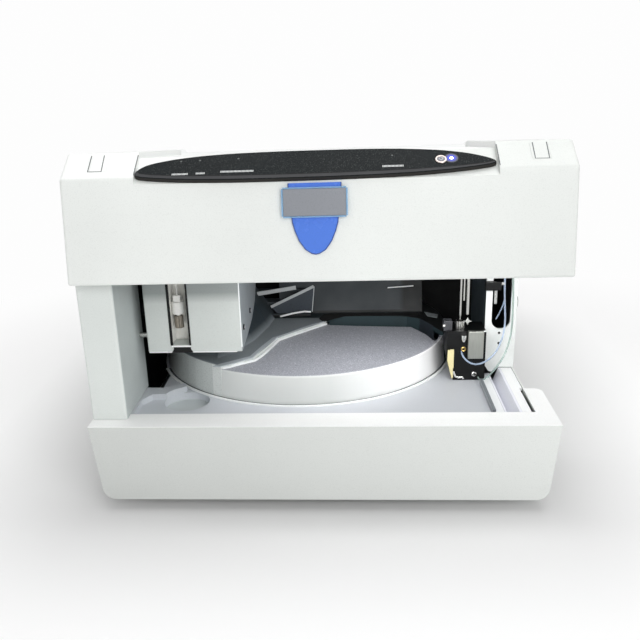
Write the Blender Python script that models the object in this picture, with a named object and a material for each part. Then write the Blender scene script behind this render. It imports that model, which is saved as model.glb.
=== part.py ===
# Benchtop autosampler: fixed hood over a retracting front door, vial carousel, syringe pump and needle tower.
# Millimetre-true model in metres. Build coordinates: X from the left side, Y back from the front edge,
# Z up from the underside of the base. One empty carries the whole machine and centres it on its feet.

import math

import bmesh
import bpy
from mathutils import Matrix, Vector

# Overall envelope
WIDTH = 0.425
DEPTH = 0.510
WING_OVERHANG = 0.0155
BODY_WIDTH = WIDTH - WING_OVERHANG
FOOT_HEIGHT = 0.012
WALL = 0.0025
SHEET = 0.002
GAP = 0.0003
OVERCUT = 0.001
EDGE_ROUND = 0.0012
SMOOTH_ANGLE = math.radians(40)
MERGE_DISTANCE = 0.0000001

# Base fascia
BASE_TOP = 0.0782
LEDGE_DEPTH = 0.028
BASE_LEAN = 0.0054
BASE_TAPER = 0.0060
BASE_CORNER = 0.012
WING_DEPTH = 0.082
WING_CORNER = 0.008
WING_INNER_X = BODY_WIDTH - 0.0015
FLANGE = 0.0025

# Floor tray
TRAY_FLOOR = 0.072
TRAY_THICK = 0.0025
TRAY_RIM_Z = 0.078
TRAY_LEFT_X = 0.0023
TRAY_FRONT_Y = 0.0288
TRAY_RIGHT_X = BODY_WIDTH - 0.0050
SILL_RIGHT_X = BODY_WIDTH - SHEET - GAP
SILL_THICK = 0.0025
TRAY_REAR_Y = 0.1377
RIM_POINTS = (
    (0.0352, 0.0288), (0.0352, 0.0608), (0.0422, 0.0741), (0.0575, 0.0755), (0.0731, 0.0951),
    (0.0697, 0.1030), (0.0497, 0.0911), (0.0346, 0.0919), (0.0023, 0.0919), (0.0023, 0.0288),
)
CUP_CENTRE = (0.0780, 0.0700)
CUP_RADIUS = 0.0225
CUP_FLOOR = 0.0640
CUP_WALL = 0.0025
RAIL_LEFT_X = 0.3705
RAIL_WIDTH = 0.0030
RAIL_FRONT_Y = 0.0330
RAIL_REAR_Y = 0.1080
TROUGH_SECTION = (
    (0.3825, 0.0720), (0.3850, 0.0720), (0.3850, 0.0600), (0.3875, 0.0600), (0.3940, 0.0780),
    (0.4045, 0.0780), (0.4045, 0.0755), (0.3960, 0.0755), (0.3895, 0.0575), (0.3825, 0.0575),
)

# Carousel
CAROUSEL_X = 0.1895
CAROUSEL_Y = 0.2200
COVER_RADIUS = 0.1575
COVER_FOOT_RADIUS = 0.1600
COVER_TOP = 0.1010
COVER_WALL = 0.0030
COVER_ROUND = 0.0016
COVER_ROUND_MIDDLE_SHARE = 0.3
COVER_RIGHT = (0.3407, 0.1765)
COVER_LEFT = (0.1126, 0.0834)
STEP_POINTS = (
    (0.1256, 0.0912), (0.1420, 0.1060), (0.1515, 0.1334), (0.1606, 0.1627), (0.1840, 0.1900), (0.2120, 0.2180),
)
SLOT_FRONT_POINTS = (
    (0.2155, 0.2169), (0.2514, 0.2118), (0.3087, 0.2058), (0.3221, 0.1812), (0.3317, 0.1518),
)
SLOT_REAR_POINTS = (
    (0.2065, 0.2225), (0.2156, 0.2358), (0.2518, 0.2363), (0.3061, 0.2336), (0.3203, 0.2253), (0.3330, 0.1960),
)
SLOT_END_POINTS = (
    (0.3221, 0.1812), (0.3302, 0.1565), (0.3336, 0.1642), (0.3370, 0.1760), (0.3380, 0.1860), (0.3280, 0.1950),
)
SHROUD_TOP = 0.1050
SHROUD_STEP_SHIFT = 0.0004
HILL_FOOT = (
    (0.1060, 0.0960), (0.0890, 0.1150), (0.0640, 0.1420), (0.0480, 0.1800), (0.0480, 0.2480),
    (0.1560, 0.2480), (0.1500, 0.2000), (0.1380, 0.1500), (0.1240, 0.1180),
)
HILL_CREST = (
    (0.0960, 0.1980), (0.0860, 0.2000), (0.0700, 0.2080), (0.0620, 0.2200), (0.0620, 0.2480),
    (0.1240, 0.2480), (0.1200, 0.2300), (0.1130, 0.2140), (0.1040, 0.2030),
)
HILL_CREST_Z = 0.1480
WALL_LEFT_X = 0.1560
WALL_RIGHT_X = 0.3250
WALL_SECTION = ((0.2495, 0.0990), (0.2495, 0.1060), (0.2655, 0.1480), (0.3000, 0.1480), (0.3000, 0.0990))
SLOT_SKIRT_BOTTOM = 0.0885
SLOT_SKIRT_THICK = 0.0022
LOUVRE_COUNT = 3
LOUVRE_LEFT_X = 0.1240
LOUVRE_RIGHT_X = 0.1940
LOUVRE_FRONT_Y = 0.2360
LOUVRE_REAR_Y = 0.2600
LOUVRE_FIRST_Z = 0.1060
LOUVRE_PITCH = 0.0125
LOUVRE_THICK = 0.0030
LOUVRE_SHIFT = 0.0085
TRAY_RING_RADIUS = COVER_RADIUS + 0.0055
TRAY_HOLE_RADIUS = TRAY_RING_RADIUS - 0.0135
WELL_RADIUS = 0.1530
WELL_WALL = 0.0030
WELL_FLOOR = 0.0440
WELL_FLANGE_RADIUS = TRAY_RING_RADIUS - 0.0030
SHAFT_RADIUS = 0.0040
SHAFT_CLEARANCE = 0.0008
MOTOR_RADIUS = 0.0210
MOTOR_BOTTOM = 0.0080
ROTOR_RADIUS = 0.1470
ROTOR_BOTTOM = 0.0520
ROTOR_THICK = 0.0040
HUB_RADIUS = 0.0260
HUB_TOP = 0.0900
HUB_WAIST_RADIUS = 0.0120
HUB_WAIST_Z = 0.0680
RACK_INNER_RADIUS = 0.0400
RACK_OUTER_RADIUS = 0.1440
RACK_TOP = 0.0830
RACK_COUNT = 3
RACK_GAP_ANGLE = math.radians(1.5)
VIAL_RADIUS = 0.0062
VIAL_FLOOR = 0.0600
VIAL_ROWS = ((0.0600, 4), (0.0900, 6), (0.1200, 8))

# Left post, side panels, rear and pan
POST_WIDTH = 0.0330
POST_FRONT_Y = 0.0158
POST_REAR_Y = 0.0950
POST_FOOT = 0.0785
POST_TOP = 0.2110
PANEL_FRONT_Y = 0.0285
RIGHT_PANEL_FRONT_Y = 0.0823
LEFT_NOTCH_Y = 0.0953
REAR_THICK = 0.0025
PAN_FRONT_Y = 0.0290
PAN_LIP = 0.0120
VENT_COUNT = 8
VENT_FRONT_Y = 0.3000
VENT_PITCH = 0.0200
VENT_LENGTH = 0.0450
VENT_WIDTH = 0.0050
VENT_BOTTOM = 0.0900

# Right column
COLUMN_LEFT_X = BODY_WIDTH - 0.0309
COLUMN_FRONT_Y = 0.1380
COLUMN_REAR_Y = 0.2300
COLUMN_TOP = 0.2615
COLUMN_FOOT_INSETS = (
    (0.0, 0.0785), (0.0150, 0.0785), (0.0215, 0.0730), (0.0255, 0.0745), (0.0309, 0.0830),
)
COLUMN_SLOT_LEFT_X = BODY_WIDTH - 0.0245
COLUMN_SLOT_RIGHT_X = BODY_WIDTH - 0.0055
COLUMN_SLOT_BOTTOM = 0.1205
COLUMN_SLOT_TOP = 0.2050
COLUMN_HOLES = ((0.3933, 0.1162, 0.0009), (0.3938, 0.1052, 0.0013))

# Hood
HOOD_BOTTOM = 0.2113
HOOD_FRONT_TOP = (0.0124, 0.3000)
HOOD_CREST = (0.0400, 0.3180)
HOOD_REAR_Y = 0.2050
TOP_SLOPE = math.tan(math.radians(5))
MIDDLE_DROP = 0.0043
MIDDLE_LEFT_X = 0.0632
MIDDLE_RIGHT_X = 0.3620
PAD_SIZE = (0.0150, 0.0200)
PAD_LEFT_X = 0.0240
PAD_RIGHT_X = 0.3890
PAD_SLOPE_START = 0.0090
PAD_DEPTH = 0.0008

# Status lens on the sloping strip: across and up the slope
LENS_POINTS = (
    (0.0637, 0.0046), (0.0650, 0.0026), (0.0690, 0.0011), (0.0776, -0.0003), (0.0913, -0.0018),
    (0.1139, -0.0036), (0.1435, -0.0045), (0.1728, -0.0047), (0.2262, -0.0044), (0.2677, -0.0034),
    (0.2953, -0.0020), (0.3228, 0.0004), (0.3436, 0.0034), (0.3548, 0.0056), (0.3594, 0.0074),
    (0.3600, 0.0091), (0.3569, 0.0121), (0.3491, 0.0159), (0.3384, 0.0197), (0.3248, 0.0229),
    (0.3110, 0.0252), (0.2829, 0.0278), (0.2545, 0.0288), (0.2259, 0.0290), (0.1858, 0.0289),
    (0.1481, 0.0279), (0.1255, 0.0263), (0.1105, 0.0247), (0.0955, 0.0222), (0.0808, 0.0186),
    (0.0721, 0.0152), (0.0667, 0.0110), (0.0642, 0.0076),
)
LENS_STEPS = 2
LENS_THICK = 0.0040
BUTTON_CENTRE = (0.3162, 0.0121)
BUTTON_RADIUS = 0.0048
BUTTON_PROUD = 0.0008
BUTTON_THICK = 0.0024
BUTTON_RIM_SHARE = 0.7
BUTTON_DISH_SHARE = 0.6
LAMP_CENTRE = (0.3247, 0.0136)
LAMP_RADIUS = 0.0015
LAMP_PROUD = 0.0004
LAMP_THICK = 0.0020
LAMP_CROWN_SHARE = 0.6
LAMP_CROWN_HEIGHT_SHARE = 0.8
BORE_CLEARANCE = 0.0004

# Badge on the hood face: across and up the face from the bottom edge
BADGE_LEFT_X = 0.1872
BADGE_RIGHT_X = 0.2390
BADGE_BOTTOM = 0.0550
BADGE_TOP = 0.0772
BADGE_THICK = 0.0016
TONGUE_POINTS = (
    (0.1918, 0.0818), (0.1918, 0.0700), (0.1940, 0.0560), (0.1946, 0.0500), (0.1965, 0.0430), (0.2000, 0.0345),
    (0.2050, 0.0275), (0.2100, 0.0243), (0.2133, 0.0236), (0.2166, 0.0243), (0.2216, 0.0275),
    (0.2266, 0.0345), (0.2301, 0.0430), (0.2320, 0.0500), (0.2326, 0.0560), (0.2349, 0.0700), (0.2349, 0.0818),
)
TONGUE_THICK = 0.0012

# Front door, drawn where it rests: raised inside the hood
DOOR_AXIS_Y = 0.1544
DOOR_AXIS_Z = 0.1450
DOOR_RADIUS = 0.1650
DOOR_THICK = 0.0030
DOOR_LOW_ANGLE = math.radians(24.4)
DOOR_HIGH_ANGLE = math.radians(72.2)
DOOR_STEPS = 14
DOOR_LEFT_X = 0.0040
DOOR_RIGHT_X = 0.4205
ARM_LEFT_X = 0.0360
ARM_RIGHT_X = BODY_WIDTH + GAP
ARM_THICK = 0.0018
ARM_HUB_RADIUS = 0.0110
ARM_HUB_START_ANGLE = math.radians(162)
ARM_HUB_END_ANGLE = math.radians(378)
ARM_BORE_RADIUS = 0.0043
ARM_FRONT_POINTS = (
    (-0.0717, 0.1470), (-0.0600, 0.1260), (-0.0150, 0.1010), (0.0050, 0.0800), (0.0070, 0.0300),
)
ARM_BACK_POINTS = (
    (0.0190, 0.0300), (0.0190, 0.0860), (0.0060, 0.1120), (-0.0280, 0.1360), (-0.0573, 0.1532),
)
PIVOT_RADIUS = 0.0040
PIVOT_BOSS_RADIUS = 0.0090
PIVOT_CAP_RADIUS = 0.0070
PIVOT_CAP_THICK = 0.0010

# Inner deck
DECK_Z = 0.2620
DECK_FRONT_Y = 0.1180
DECK_STEP_Y = 0.2100
DECK_REAR_Y = 0.4900
DECK_NARROW_X = 0.0430
DECK_RIGHT_X = 0.4050
DECK_LIP = 0.0090

# Syringe unit
BOX_LEFT_X = 0.0440
BOX_RIGHT_X = 0.1366
BOX_FRONT_Y = 0.0700
BOX_SECTION = (
    (0.0700, 0.2617), (0.0700, 0.1245), (0.0720, 0.1240), (0.1100, 0.1262), (0.1500, 0.1312), (0.1820, 0.1430),
    (0.1950, 0.1580), (0.1950, 0.2617),
)
BOX_WALL = 0.0025
BOX_BEND_WALL = 0.00375
BOX_SLOT_LEFT_X = 0.0675
BOX_SLOT_RIGHT_X = 0.0860
BOX_SLOT_DEPTH = 0.0220
BOX_SLOT_BOTTOM = 0.1310
BACK_PLATE_THICK = 0.0020
BACK_PLATE_TOP = 0.2550
SYRINGE_X = 0.0745
SYRINGE_Y = 0.0810
ROD_RADIUS = 0.0010
CLAMP_WIDTH = 0.0070
CLAMP_BOTTOM = 0.1725
CLAMP_TOP = 0.1795
COLLAR_RADIUS = 0.0060
COLLAR_BOTTOM = 0.1610
NUT_RADIUS = 0.0043
NUT_BOTTOM = 0.1465
NUT_TOP = 0.1585
NUT_FLUTES = 16
NUT_FLUTE_SHARE = 0.92
NECK_RADIUS = 0.0022
ROD_TOP = 0.2350
BARREL_BOTTOM = 0.1980
BARREL_TOP = 0.2520
BARREL_RADIUS = 0.0040
BARREL_BORE = 0.0017
SHELF_THICK = 0.0020
SHELF_BORE = 0.0013
DRIVE_CORNER = (0.0950, 0.1250)
DRIVE_SIZE = (0.0320, 0.0420, 0.0900)
STUD_Y = 0.0840
STUD_Z = 0.1380
STUD_RADIUS = 0.0026
STUD_FLANGE_RADIUS = 0.0048
STUD_FLANGE_THICK = 0.0018

# Needle tower
BLOCK_LEFT_X = 0.3380
BLOCK_RIGHT_X = 0.3770
BLOCK_FRONT_Y = 0.1190
BLOCK_REAR_Y = 0.1500
BLOCK_BOTTOM = 0.0723
BLOCK_TOP = 0.1250
BLOCK_CHAMFER = ((0.3380, 0.0987), (0.3450, 0.0723))
NEEDLE_X = 0.3520
NEEDLE_Y = 0.1300
NEEDLE_TIP = 0.1342
NEEDLE_RADIUS = 0.0011
NEEDLE_POINT = 0.0050
NEEDLE_TIP_SHARE = 0.3
PORT_RADIUS = 0.0048
PORT_TOP = 0.1332
PORT_FLUTES = 18
PORT_FLUTE_SHARE = 0.92
PORT_BORE = 0.0024
NEEDLE_CHANNEL_WIDTH = 0.0060
NEEDLE_CHANNEL_FRONT_Y = 0.1268
NEEDLE_CHANNEL_BOTTOM = 0.0760
VALVE_LEFT_X = 0.3586
VALVE_RIGHT_X = 0.3740
VALVE_BOTTOM = 0.0970
VALVE_TOP = 0.1262
VALVE_FRONT_Y = 0.1140
STRIP_LEFT_X = 0.3412
STRIP_RIGHT_X = 0.3452
STRIP_BOTTOM = 0.0860
STRIP_TOP = 0.1060
STRIP_THICK = 0.0015
ARM_AXIS_X = 0.2500
ARM_AXIS_Y = 0.1300
ARM_PLATE_BOTTOM = 0.2220
ARM_PLATE_TOP = 0.2300
ARM_END_X = 0.3680
ARM_ROOT_WIDTH = 0.0340
ARM_TIP_WIDTH = 0.0200
SPINDLE_RADIUS = 0.0080
SPINDLE_COLLAR_RADIUS = 0.0120
SPINDLE_BORE_CLEARANCE = 0.0004
SPINDLE_FLANGE_RADIUS = 0.0200
SPINDLE_FLANGE_THICK = 0.0040
ROD_LONG = (0.3590, 0.1390, 0.0016)
ROD_SHORT = (0.3552, 0.1540, 0.0009)
CARRIAGE_BOTTOM = 0.1960
CARRIAGE_TOP = 0.2120
CARRIAGE_LEFT_X = 0.3470
CARRIAGE_RIGHT_X = 0.3650
CARRIAGE_DEPTH = 0.0140
ROD_CLEARANCE = 0.0003
ROD_TIP_SHARE = 0.7

# Tubing
TUBE_RADIUS = 0.0009
BLUE_POINTS = (
    (0.3525, 0.1187, 0.1035), (0.3525, 0.1150, 0.1035), (0.3529, 0.1120, 0.1020), (0.3548, 0.1105, 0.0992),
    (0.3580, 0.1102, 0.0960), (0.3620, 0.1105, 0.0936), (0.3665, 0.1110, 0.0924), (0.3710, 0.1115, 0.0928),
    (0.3755, 0.1125, 0.0943), (0.3800, 0.1140, 0.0968), (0.3842, 0.1160, 0.1000), (0.3880, 0.1185, 0.1042),
    (0.3912, 0.1215, 0.1092), (0.3940, 0.1250, 0.1145), (0.3960, 0.1285, 0.1200), (0.3973, 0.1312, 0.1260),
    (0.3977, 0.1330, 0.1330), (0.3973, 0.1337, 0.1410), (0.3966, 0.1338, 0.1500), (0.3960, 0.1338, 0.1600),
    (0.3956, 0.1338, 0.1720), (0.3953, 0.1338, 0.1850), (0.3952, 0.1338, 0.2000), (0.3952, 0.1338, 0.2137),
)
GREEN_POINTS = (
    (0.3706, 0.1187, 0.0752), (0.3706, 0.1160, 0.0752), (0.3710, 0.1135, 0.0750), (0.3727, 0.1118, 0.0750),
    (0.3752, 0.1112, 0.0758), (0.3780, 0.1112, 0.0780), (0.3812, 0.1114, 0.0812), (0.3845, 0.1118, 0.0850),
    (0.3880, 0.1125, 0.0892), (0.3912, 0.1138, 0.0935), (0.3942, 0.1158, 0.0980), (0.3970, 0.1184, 0.1030),
    (0.3996, 0.1214, 0.1085), (0.4018, 0.1245, 0.1145), (0.4034, 0.1275, 0.1210), (0.4043, 0.1300, 0.1280),
    (0.4048, 0.1320, 0.1360), (0.4049, 0.1332, 0.1450), (0.4047, 0.1338, 0.1550), (0.4040, 0.1338, 0.1670),
    (0.4033, 0.1338, 0.1800), (0.4028, 0.1338, 0.1930), (0.4025, 0.1338, 0.2060), (0.4025, 0.1338, 0.2137),
)
UNION_LEFT_X = 0.3900
UNION_RIGHT_X = 0.4080
UNION_FRONT_Y = 0.1295
UNION_BOTTOM = 0.2140
UNION_TOP = 0.2260
CLIP_LEFT_X = 0.3765
CLIP_RIGHT_X = 0.3925
CLIP_FRONT_Y = 0.1320
CLIP_BOTTOM = 0.1630
CLIP_TOP = 0.1722

# Rear services and inner electrics
FAN_X = 0.3000
FAN_Z = 0.1500
FAN_SIZE = 0.0920
FAN_DEPTH = 0.0250
FAN_BORE = 0.0430
FAN_HUB = 0.0170
FAN_BLADES = 7
FAN_BLADE_THICK = 0.0020
FAN_BLADE_TIP = 0.0410
FAN_STRUT = 0.0040
FAN_PIN_RADIUS = 0.0020
GRILLE_COUNT = 9
GRILLE_PITCH = 0.0088
GRILLE_SLOT = 0.0052
INLET_X = 0.0600
INLET_Z = 0.0600
INLET_SIZE = (0.0310, 0.0240)
INLET_DEPTH = 0.0200
INLET_WALL = 0.0016
INLET_FLANGE = (0.0400, 0.0300, 0.0020)
PIN_SIZE = (0.0020, 0.0140, 0.0040)
PIN_PLACES = ((-0.0070, -0.0030), (0.0, 0.0030), (0.0070, -0.0030))
SWITCH_X = 0.0600
SWITCH_Z = 0.0980
SWITCH_SIZE = (0.0190, 0.0130)
SWITCH_DEPTH = 0.0120
SWITCH_TILT = math.radians(9)
SUPPLY_PLAN = ((0.0200, DEPTH - 0.1100), (0.1300, DEPTH - 0.0250))
SUPPLY_TOP = 0.0440
BOARD_PLAN = ((0.1600, DEPTH - 0.1200), (BODY_WIDTH - 0.0195, DEPTH - 0.0120))
BOARD_Z = 0.0140
BOARD_THICK = 0.0018
BOARD_CHIP_HEIGHT = 0.0040
CHIP_SHARES = ((0.20, 0.30), (0.45, 0.60), (0.75, 0.40))
PILLAR_RADIUS = 0.0030
PILLAR_SHARES = ((0.04, 0.08), (0.96, 0.08), (0.96, 0.92), (0.04, 0.92))
FOOT_RADIUS = 0.0110
FOOT_RIM = 0.0012
FOOT_INSET_X = 0.0350
FOOT_FRONT_Y = 0.0450
FOOT_REAR_Y = DEPTH - 0.0400

# Finishes: colour, roughness, metallic
FINISHES = {
    "shell_white": ((0.760, 0.775, 0.760), 0.45, 0.0),
    "tray_grey": ((0.600, 0.615, 0.640), 0.50, 0.0),
    "post_grey": ((0.610, 0.640, 0.620), 0.50, 0.0),
    "cover_grey": ((0.350, 0.360, 0.390), 0.60, 0.0),
    "shroud_dark": ((0.060, 0.066, 0.072), 0.60, 0.0),
    "lens_black": ((0.016, 0.018, 0.019), 0.15, 0.0),
    "badge_grey": ((0.270, 0.320, 0.350), 0.35, 0.3),
    "tongue_blue": ((0.070, 0.200, 0.680), 0.30, 0.0),
    "steel": ((0.620, 0.620, 0.610), 0.25, 1.0),
    "black_plastic": ((0.012, 0.012, 0.013), 0.45, 0.0),
    "dark_steel": ((0.050, 0.052, 0.056), 0.50, 0.6),
    "white_plastic": ((0.850, 0.850, 0.830), 0.40, 0.0),
    "beige": ((0.640, 0.580, 0.380), 0.50, 0.0),
    "glass": ((0.800, 0.860, 0.880), 0.05, 0.0),
    "lamp_blue": ((0.050, 0.150, 0.900), 0.20, 0.0),
    "tube_blue": ((0.250, 0.500, 0.720), 0.25, 0.0),
    "tube_green": ((0.180, 0.460, 0.420), 0.25, 0.0),
    "board_green": ((0.020, 0.160, 0.060), 0.50, 0.0),
    "rubber": ((0.020, 0.020, 0.020), 0.80, 0.0),
}


def clear_scene():
    for item in list(bpy.data.objects):
        bpy.data.objects.remove(item, do_unlink=True)


def make_finish(name):
    colour, roughness, metallic = FINISHES[name]
    finish = bpy.data.materials.get(name)
    if finish is None:
        finish = bpy.data.materials.new(name)
        finish.use_nodes = True
        shader = finish.node_tree.nodes["Principled BSDF"]
        shader.inputs["Base Color"].default_value = (*colour, 1.0)
        shader.inputs["Roughness"].default_value = roughness
        shader.inputs["Metallic"].default_value = metallic
    return finish


def make_root():
    root = bpy.data.objects.new("machine_root", None)
    root.location = (-WIDTH / 2, -DEPTH / 2, FOOT_HEIGHT)
    bpy.context.scene.collection.objects.link(root)
    return root


def to_object(shape, name):
    bmesh.ops.recalc_face_normals(shape, faces=shape.faces)
    mesh = bpy.data.meshes.new(name)
    shape.to_mesh(mesh)
    shape.free()
    item = bpy.data.objects.new(name, mesh)
    bpy.context.scene.collection.objects.link(item)
    return item


def lift_point(axis, pair, level):
    if axis == "x":
        return Vector((level, pair[0], pair[1]))
    if axis == "y":
        return Vector((pair[0], level, pair[1]))
    return Vector((pair[0], pair[1], level))


def prism(axis, outline, low, high, name="prism"):
    """A closed outline in the plane square to the axis, extruded from low to high."""
    shape = bmesh.new()
    corners = [shape.verts.new(lift_point(axis, pair, low)) for pair in outline]
    face = shape.faces.new(corners)
    swept = bmesh.ops.extrude_face_region(shape, geom=[face])
    moved = [part for part in swept["geom"] if isinstance(part, bmesh.types.BMVert)]
    bmesh.ops.translate(shape, verts=moved, vec=lift_point(axis, (0.0, 0.0), high - low))
    return to_object(shape, name)


def block(low, high, name="block"):
    outline = ((low[0], low[1]), (high[0], low[1]), (high[0], high[1]), (low[0], high[1]))
    return prism("z", outline, low[2], high[2], name)


def loft(levels, name="loft"):
    """Outlines with the same number of corners at rising heights, joined by side faces and capped."""
    shape = bmesh.new()
    rings = [[shape.verts.new((x, y, height)) for x, y in outline] for outline, height in levels]
    count = len(rings[0])
    for lower, upper in zip(rings, rings[1:]):
        for index in range(count):
            follow = (index + 1) % count
            shape.faces.new((lower[index], lower[follow], upper[follow], upper[index]))
    shape.faces.new(rings[0])
    shape.faces.new(rings[-1])
    bmesh.ops.triangulate(shape, faces=[face for face in shape.faces if len(face.verts) == 4])
    return to_object(shape, name)


def turned(profile, segments=32, name="turned"):
    """A profile of radius and height spun about the Z axis; it starts and ends on the axis."""
    shape = bmesh.new()
    verts = [shape.verts.new((radius, 0.0, height)) for radius, height in profile]
    edges = [shape.edges.new(pair) for pair in zip(verts, verts[1:])]
    bmesh.ops.spin(
        shape, geom=verts + edges, cent=(0.0, 0.0, 0.0), axis=(0.0, 0.0, 1.0),
        angle=math.tau, steps=segments, use_merge=True,
    )
    bmesh.ops.remove_doubles(shape, verts=shape.verts, dist=MERGE_DISTANCE)
    return to_object(shape, name)


def ring(profile, segments=48, name="ring"):
    """A closed profile of radius and height, clear of the axis, spun about the Z axis."""
    shape = bmesh.new()
    verts = [shape.verts.new((radius, 0.0, height)) for radius, height in profile]
    edges = [shape.edges.new(pair) for pair in zip(verts, verts[1:] + verts[:1])]
    bmesh.ops.spin(
        shape, geom=verts + edges, cent=(0.0, 0.0, 0.0), axis=(0.0, 0.0, 1.0),
        angle=math.tau, steps=segments, use_merge=True,
    )
    return to_object(shape, name)


def rod(radius, low, high, segments=20, name="rod"):
    return turned(((0.0, low), (radius, low), (radius, high), (0.0, high)), segments, name)


def fluted(radius, low, high, flutes, share, name="fluted"):
    outline = []
    for index in range(flutes * 2):
        angle = math.tau * index / flutes / 2
        reach = radius if index % 2 else radius * share
        outline.append((reach * math.cos(angle), reach * math.sin(angle)))
    return prism("z", outline, low, high, name)


def bake(item):
    """Replace an object's mesh by the one its modifiers give."""
    bpy.context.view_layer.update()
    graph = bpy.context.evaluated_depsgraph_get()
    mesh = bpy.data.meshes.new_from_object(item.evaluated_get(graph))
    item.modifiers.clear()
    item.data = mesh
    return item


def place(item, matrix):
    item.data.transform(matrix)
    item.data.update()
    return item


def shift(item, x, y, z):
    return place(item, Matrix.Translation((x, y, z)))


def combine(body, others, operation):
    for other in others:
        step = body.modifiers.new("combine", "BOOLEAN")
        step.operation = operation
        step.solver = "EXACT"
        step.object = other
        bake(body)
        bpy.data.objects.remove(other, do_unlink=True)
    return body


def cut(body, *others):
    return combine(body, others, "DIFFERENCE")


def join(body, *others):
    return combine(body, others, "UNION")


def soften(item, width=EDGE_ROUND, segments=2, angle=SMOOTH_ANGLE):
    step = item.modifiers.new("soften", "BEVEL")
    step.width = width
    step.segments = segments
    step.limit_method = "ANGLE"
    step.angle_limit = angle
    step.harden_normals = False
    return bake(item)


def rounded(points, radius, steps=4):
    """Round every corner of a closed outline by the same radius."""
    result = []
    count = len(points)
    for index in range(count):
        here = Vector(points[index])
        before = (Vector(points[index - 1]) - here).normalized()
        after = (Vector(points[(index + 1) % count]) - here).normalized()
        half = before.angle(after) / 2
        reach = radius / math.tan(half)
        start = here + before * reach
        end = here + after * reach
        centre = here + (before + after).normalized() * (radius / math.sin(half))
        first = start - centre
        last = end - centre
        turn = first.angle_signed(last)
        for step in range(steps + 1):
            spoke = first.copy()
            spoke.rotate(Matrix.Rotation(-turn * step / steps, 2))
            result.append(tuple(centre + spoke))
    return result


def arc(centre, radius, start, end, steps):
    return [
        (
            centre[0] + radius * math.cos(start + (end - start) * step / steps),
            centre[1] + radius * math.sin(start + (end - start) * step / steps),
        )
        for step in range(steps + 1)
    ]


def curved(points, steps):
    """A smooth closed line through the points, each span cut into equal steps."""
    result = []
    count = len(points)
    for index in range(count):
        before, here, after, beyond = [Vector(points[(index + shift) % count]) for shift in (-1, 0, 1, 2)]
        for step in range(steps):
            share = step / steps
            bend = (before * 2 - here * 5 + after * 4 - beyond) * share ** 2
            twist = (here * 3 - before - after * 3 + beyond) * share ** 3
            result.append(tuple((here * 2 + (after - before) * share + bend + twist) / 2))
    return result


def finish_piece(item, name, finish, root, origin=(0.0, 0.0, 0.0)):
    """Name the piece, colour it, set its origin and hang it on the machine."""
    item.name = name
    item.data.name = name
    item.data.transform(Matrix.Translation(-Vector(origin)))
    item.location = origin
    item.parent = root
    item.data.materials.clear()
    item.data.materials.append(make_finish(finish))
    item.data.shade_smooth()
    item.data.set_sharp_from_angle(angle=SMOOTH_ANGLE)
    return item


def top_height(y):
    """Height of the outer top at a distance back from the front."""
    return HOOD_CREST[1] - (y - HOOD_CREST[0]) * TOP_SLOPE


# Slope frame of the strip and face frame of the hood
SLOPE_RUN = Vector((HOOD_CREST[0] - HOOD_FRONT_TOP[0], HOOD_CREST[1] - HOOD_FRONT_TOP[1]))
SLOPE_UP = SLOPE_RUN.normalized()
FACE_RUN = Vector((HOOD_FRONT_TOP[0], HOOD_FRONT_TOP[1] - HOOD_BOTTOM))
FACE_UP = FACE_RUN.normalized()


def frame_on(up, start):
    """Matrix taking across, up-the-surface and outward onto the machine."""
    return Matrix((
        (1.0, 0.0, 0.0, 0.0),
        (0.0, up[0], -up[1], start[0]),
        (0.0, up[1], up[0], start[1]),
        (0.0, 0.0, 0.0, 1.0),
    ))


def slope_frame():
    return frame_on(SLOPE_UP, HOOD_FRONT_TOP)


def face_frame():
    return frame_on(FACE_UP, (0.0, HOOD_BOTTOM))


def circle_point(angle, radius):
    return (CAROUSEL_X + radius * math.cos(angle), CAROUSEL_Y + radius * math.sin(angle))


def carousel_angle(point):
    return math.atan2(point[1] - CAROUSEL_Y, point[0] - CAROUSEL_X)


def build_base_fascia(root):
    outline = rounded_front_outline()
    body = prism("y", outline, 0.0, WING_DEPTH, "base_fascia")
    clear = block(
        (-OVERCUT, LEDGE_DEPTH, -OVERCUT), (WING_INNER_X, WING_DEPTH + OVERCUT, BASE_TOP + OVERCUT),
    )
    cut(body, clear)
    inner_low = BASE_TAPER + WALL
    channel = block(
        (inner_low, WALL, FLANGE), (WIDTH - inner_low, LEDGE_DEPTH + OVERCUT, BASE_TOP - FLANGE),
    )
    pocket = block(
        (WING_INNER_X - OVERCUT, LEDGE_DEPTH, FLANGE),
        (WIDTH - inner_low, WING_DEPTH - WALL, BASE_TOP - FLANGE),
    )
    cut(body, channel, pocket)
    corner = WIDTH - WING_CORNER
    nose = prism(
        "z",
        [(corner, WING_DEPTH + OVERCUT)]
        + arc((corner, WING_DEPTH - WING_CORNER), WING_CORNER, math.pi / 2, 0.0, 6)
        + [(WIDTH + OVERCUT, WING_DEPTH - WING_CORNER), (WIDTH + OVERCUT, WING_DEPTH + OVERCUT)],
        -OVERCUT, BASE_TOP + OVERCUT,
    )
    cut(body, nose)
    for vert in body.data.vertices:
        share = max(0.0, 1 - vert.co.y / LEDGE_DEPTH)
        vert.co.y += BASE_LEAN * share * (BASE_TOP - vert.co.z) / BASE_TOP
    finish_piece(body, "base_fascia", "shell_white", root)


def rounded_front_outline():
    """Front outline of the base: slanted ends and round lower corners."""
    left = (BASE_TAPER, 0.0)
    right = (WIDTH - BASE_TAPER, 0.0)
    corners = [(0.0, BASE_TOP), left, right, (WIDTH, BASE_TOP)]
    rounds = rounded(corners, BASE_CORNER, 5)
    half = len(rounds) // 4
    return [corners[0]] + rounds[half:half * 3] + [corners[3]]


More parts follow.
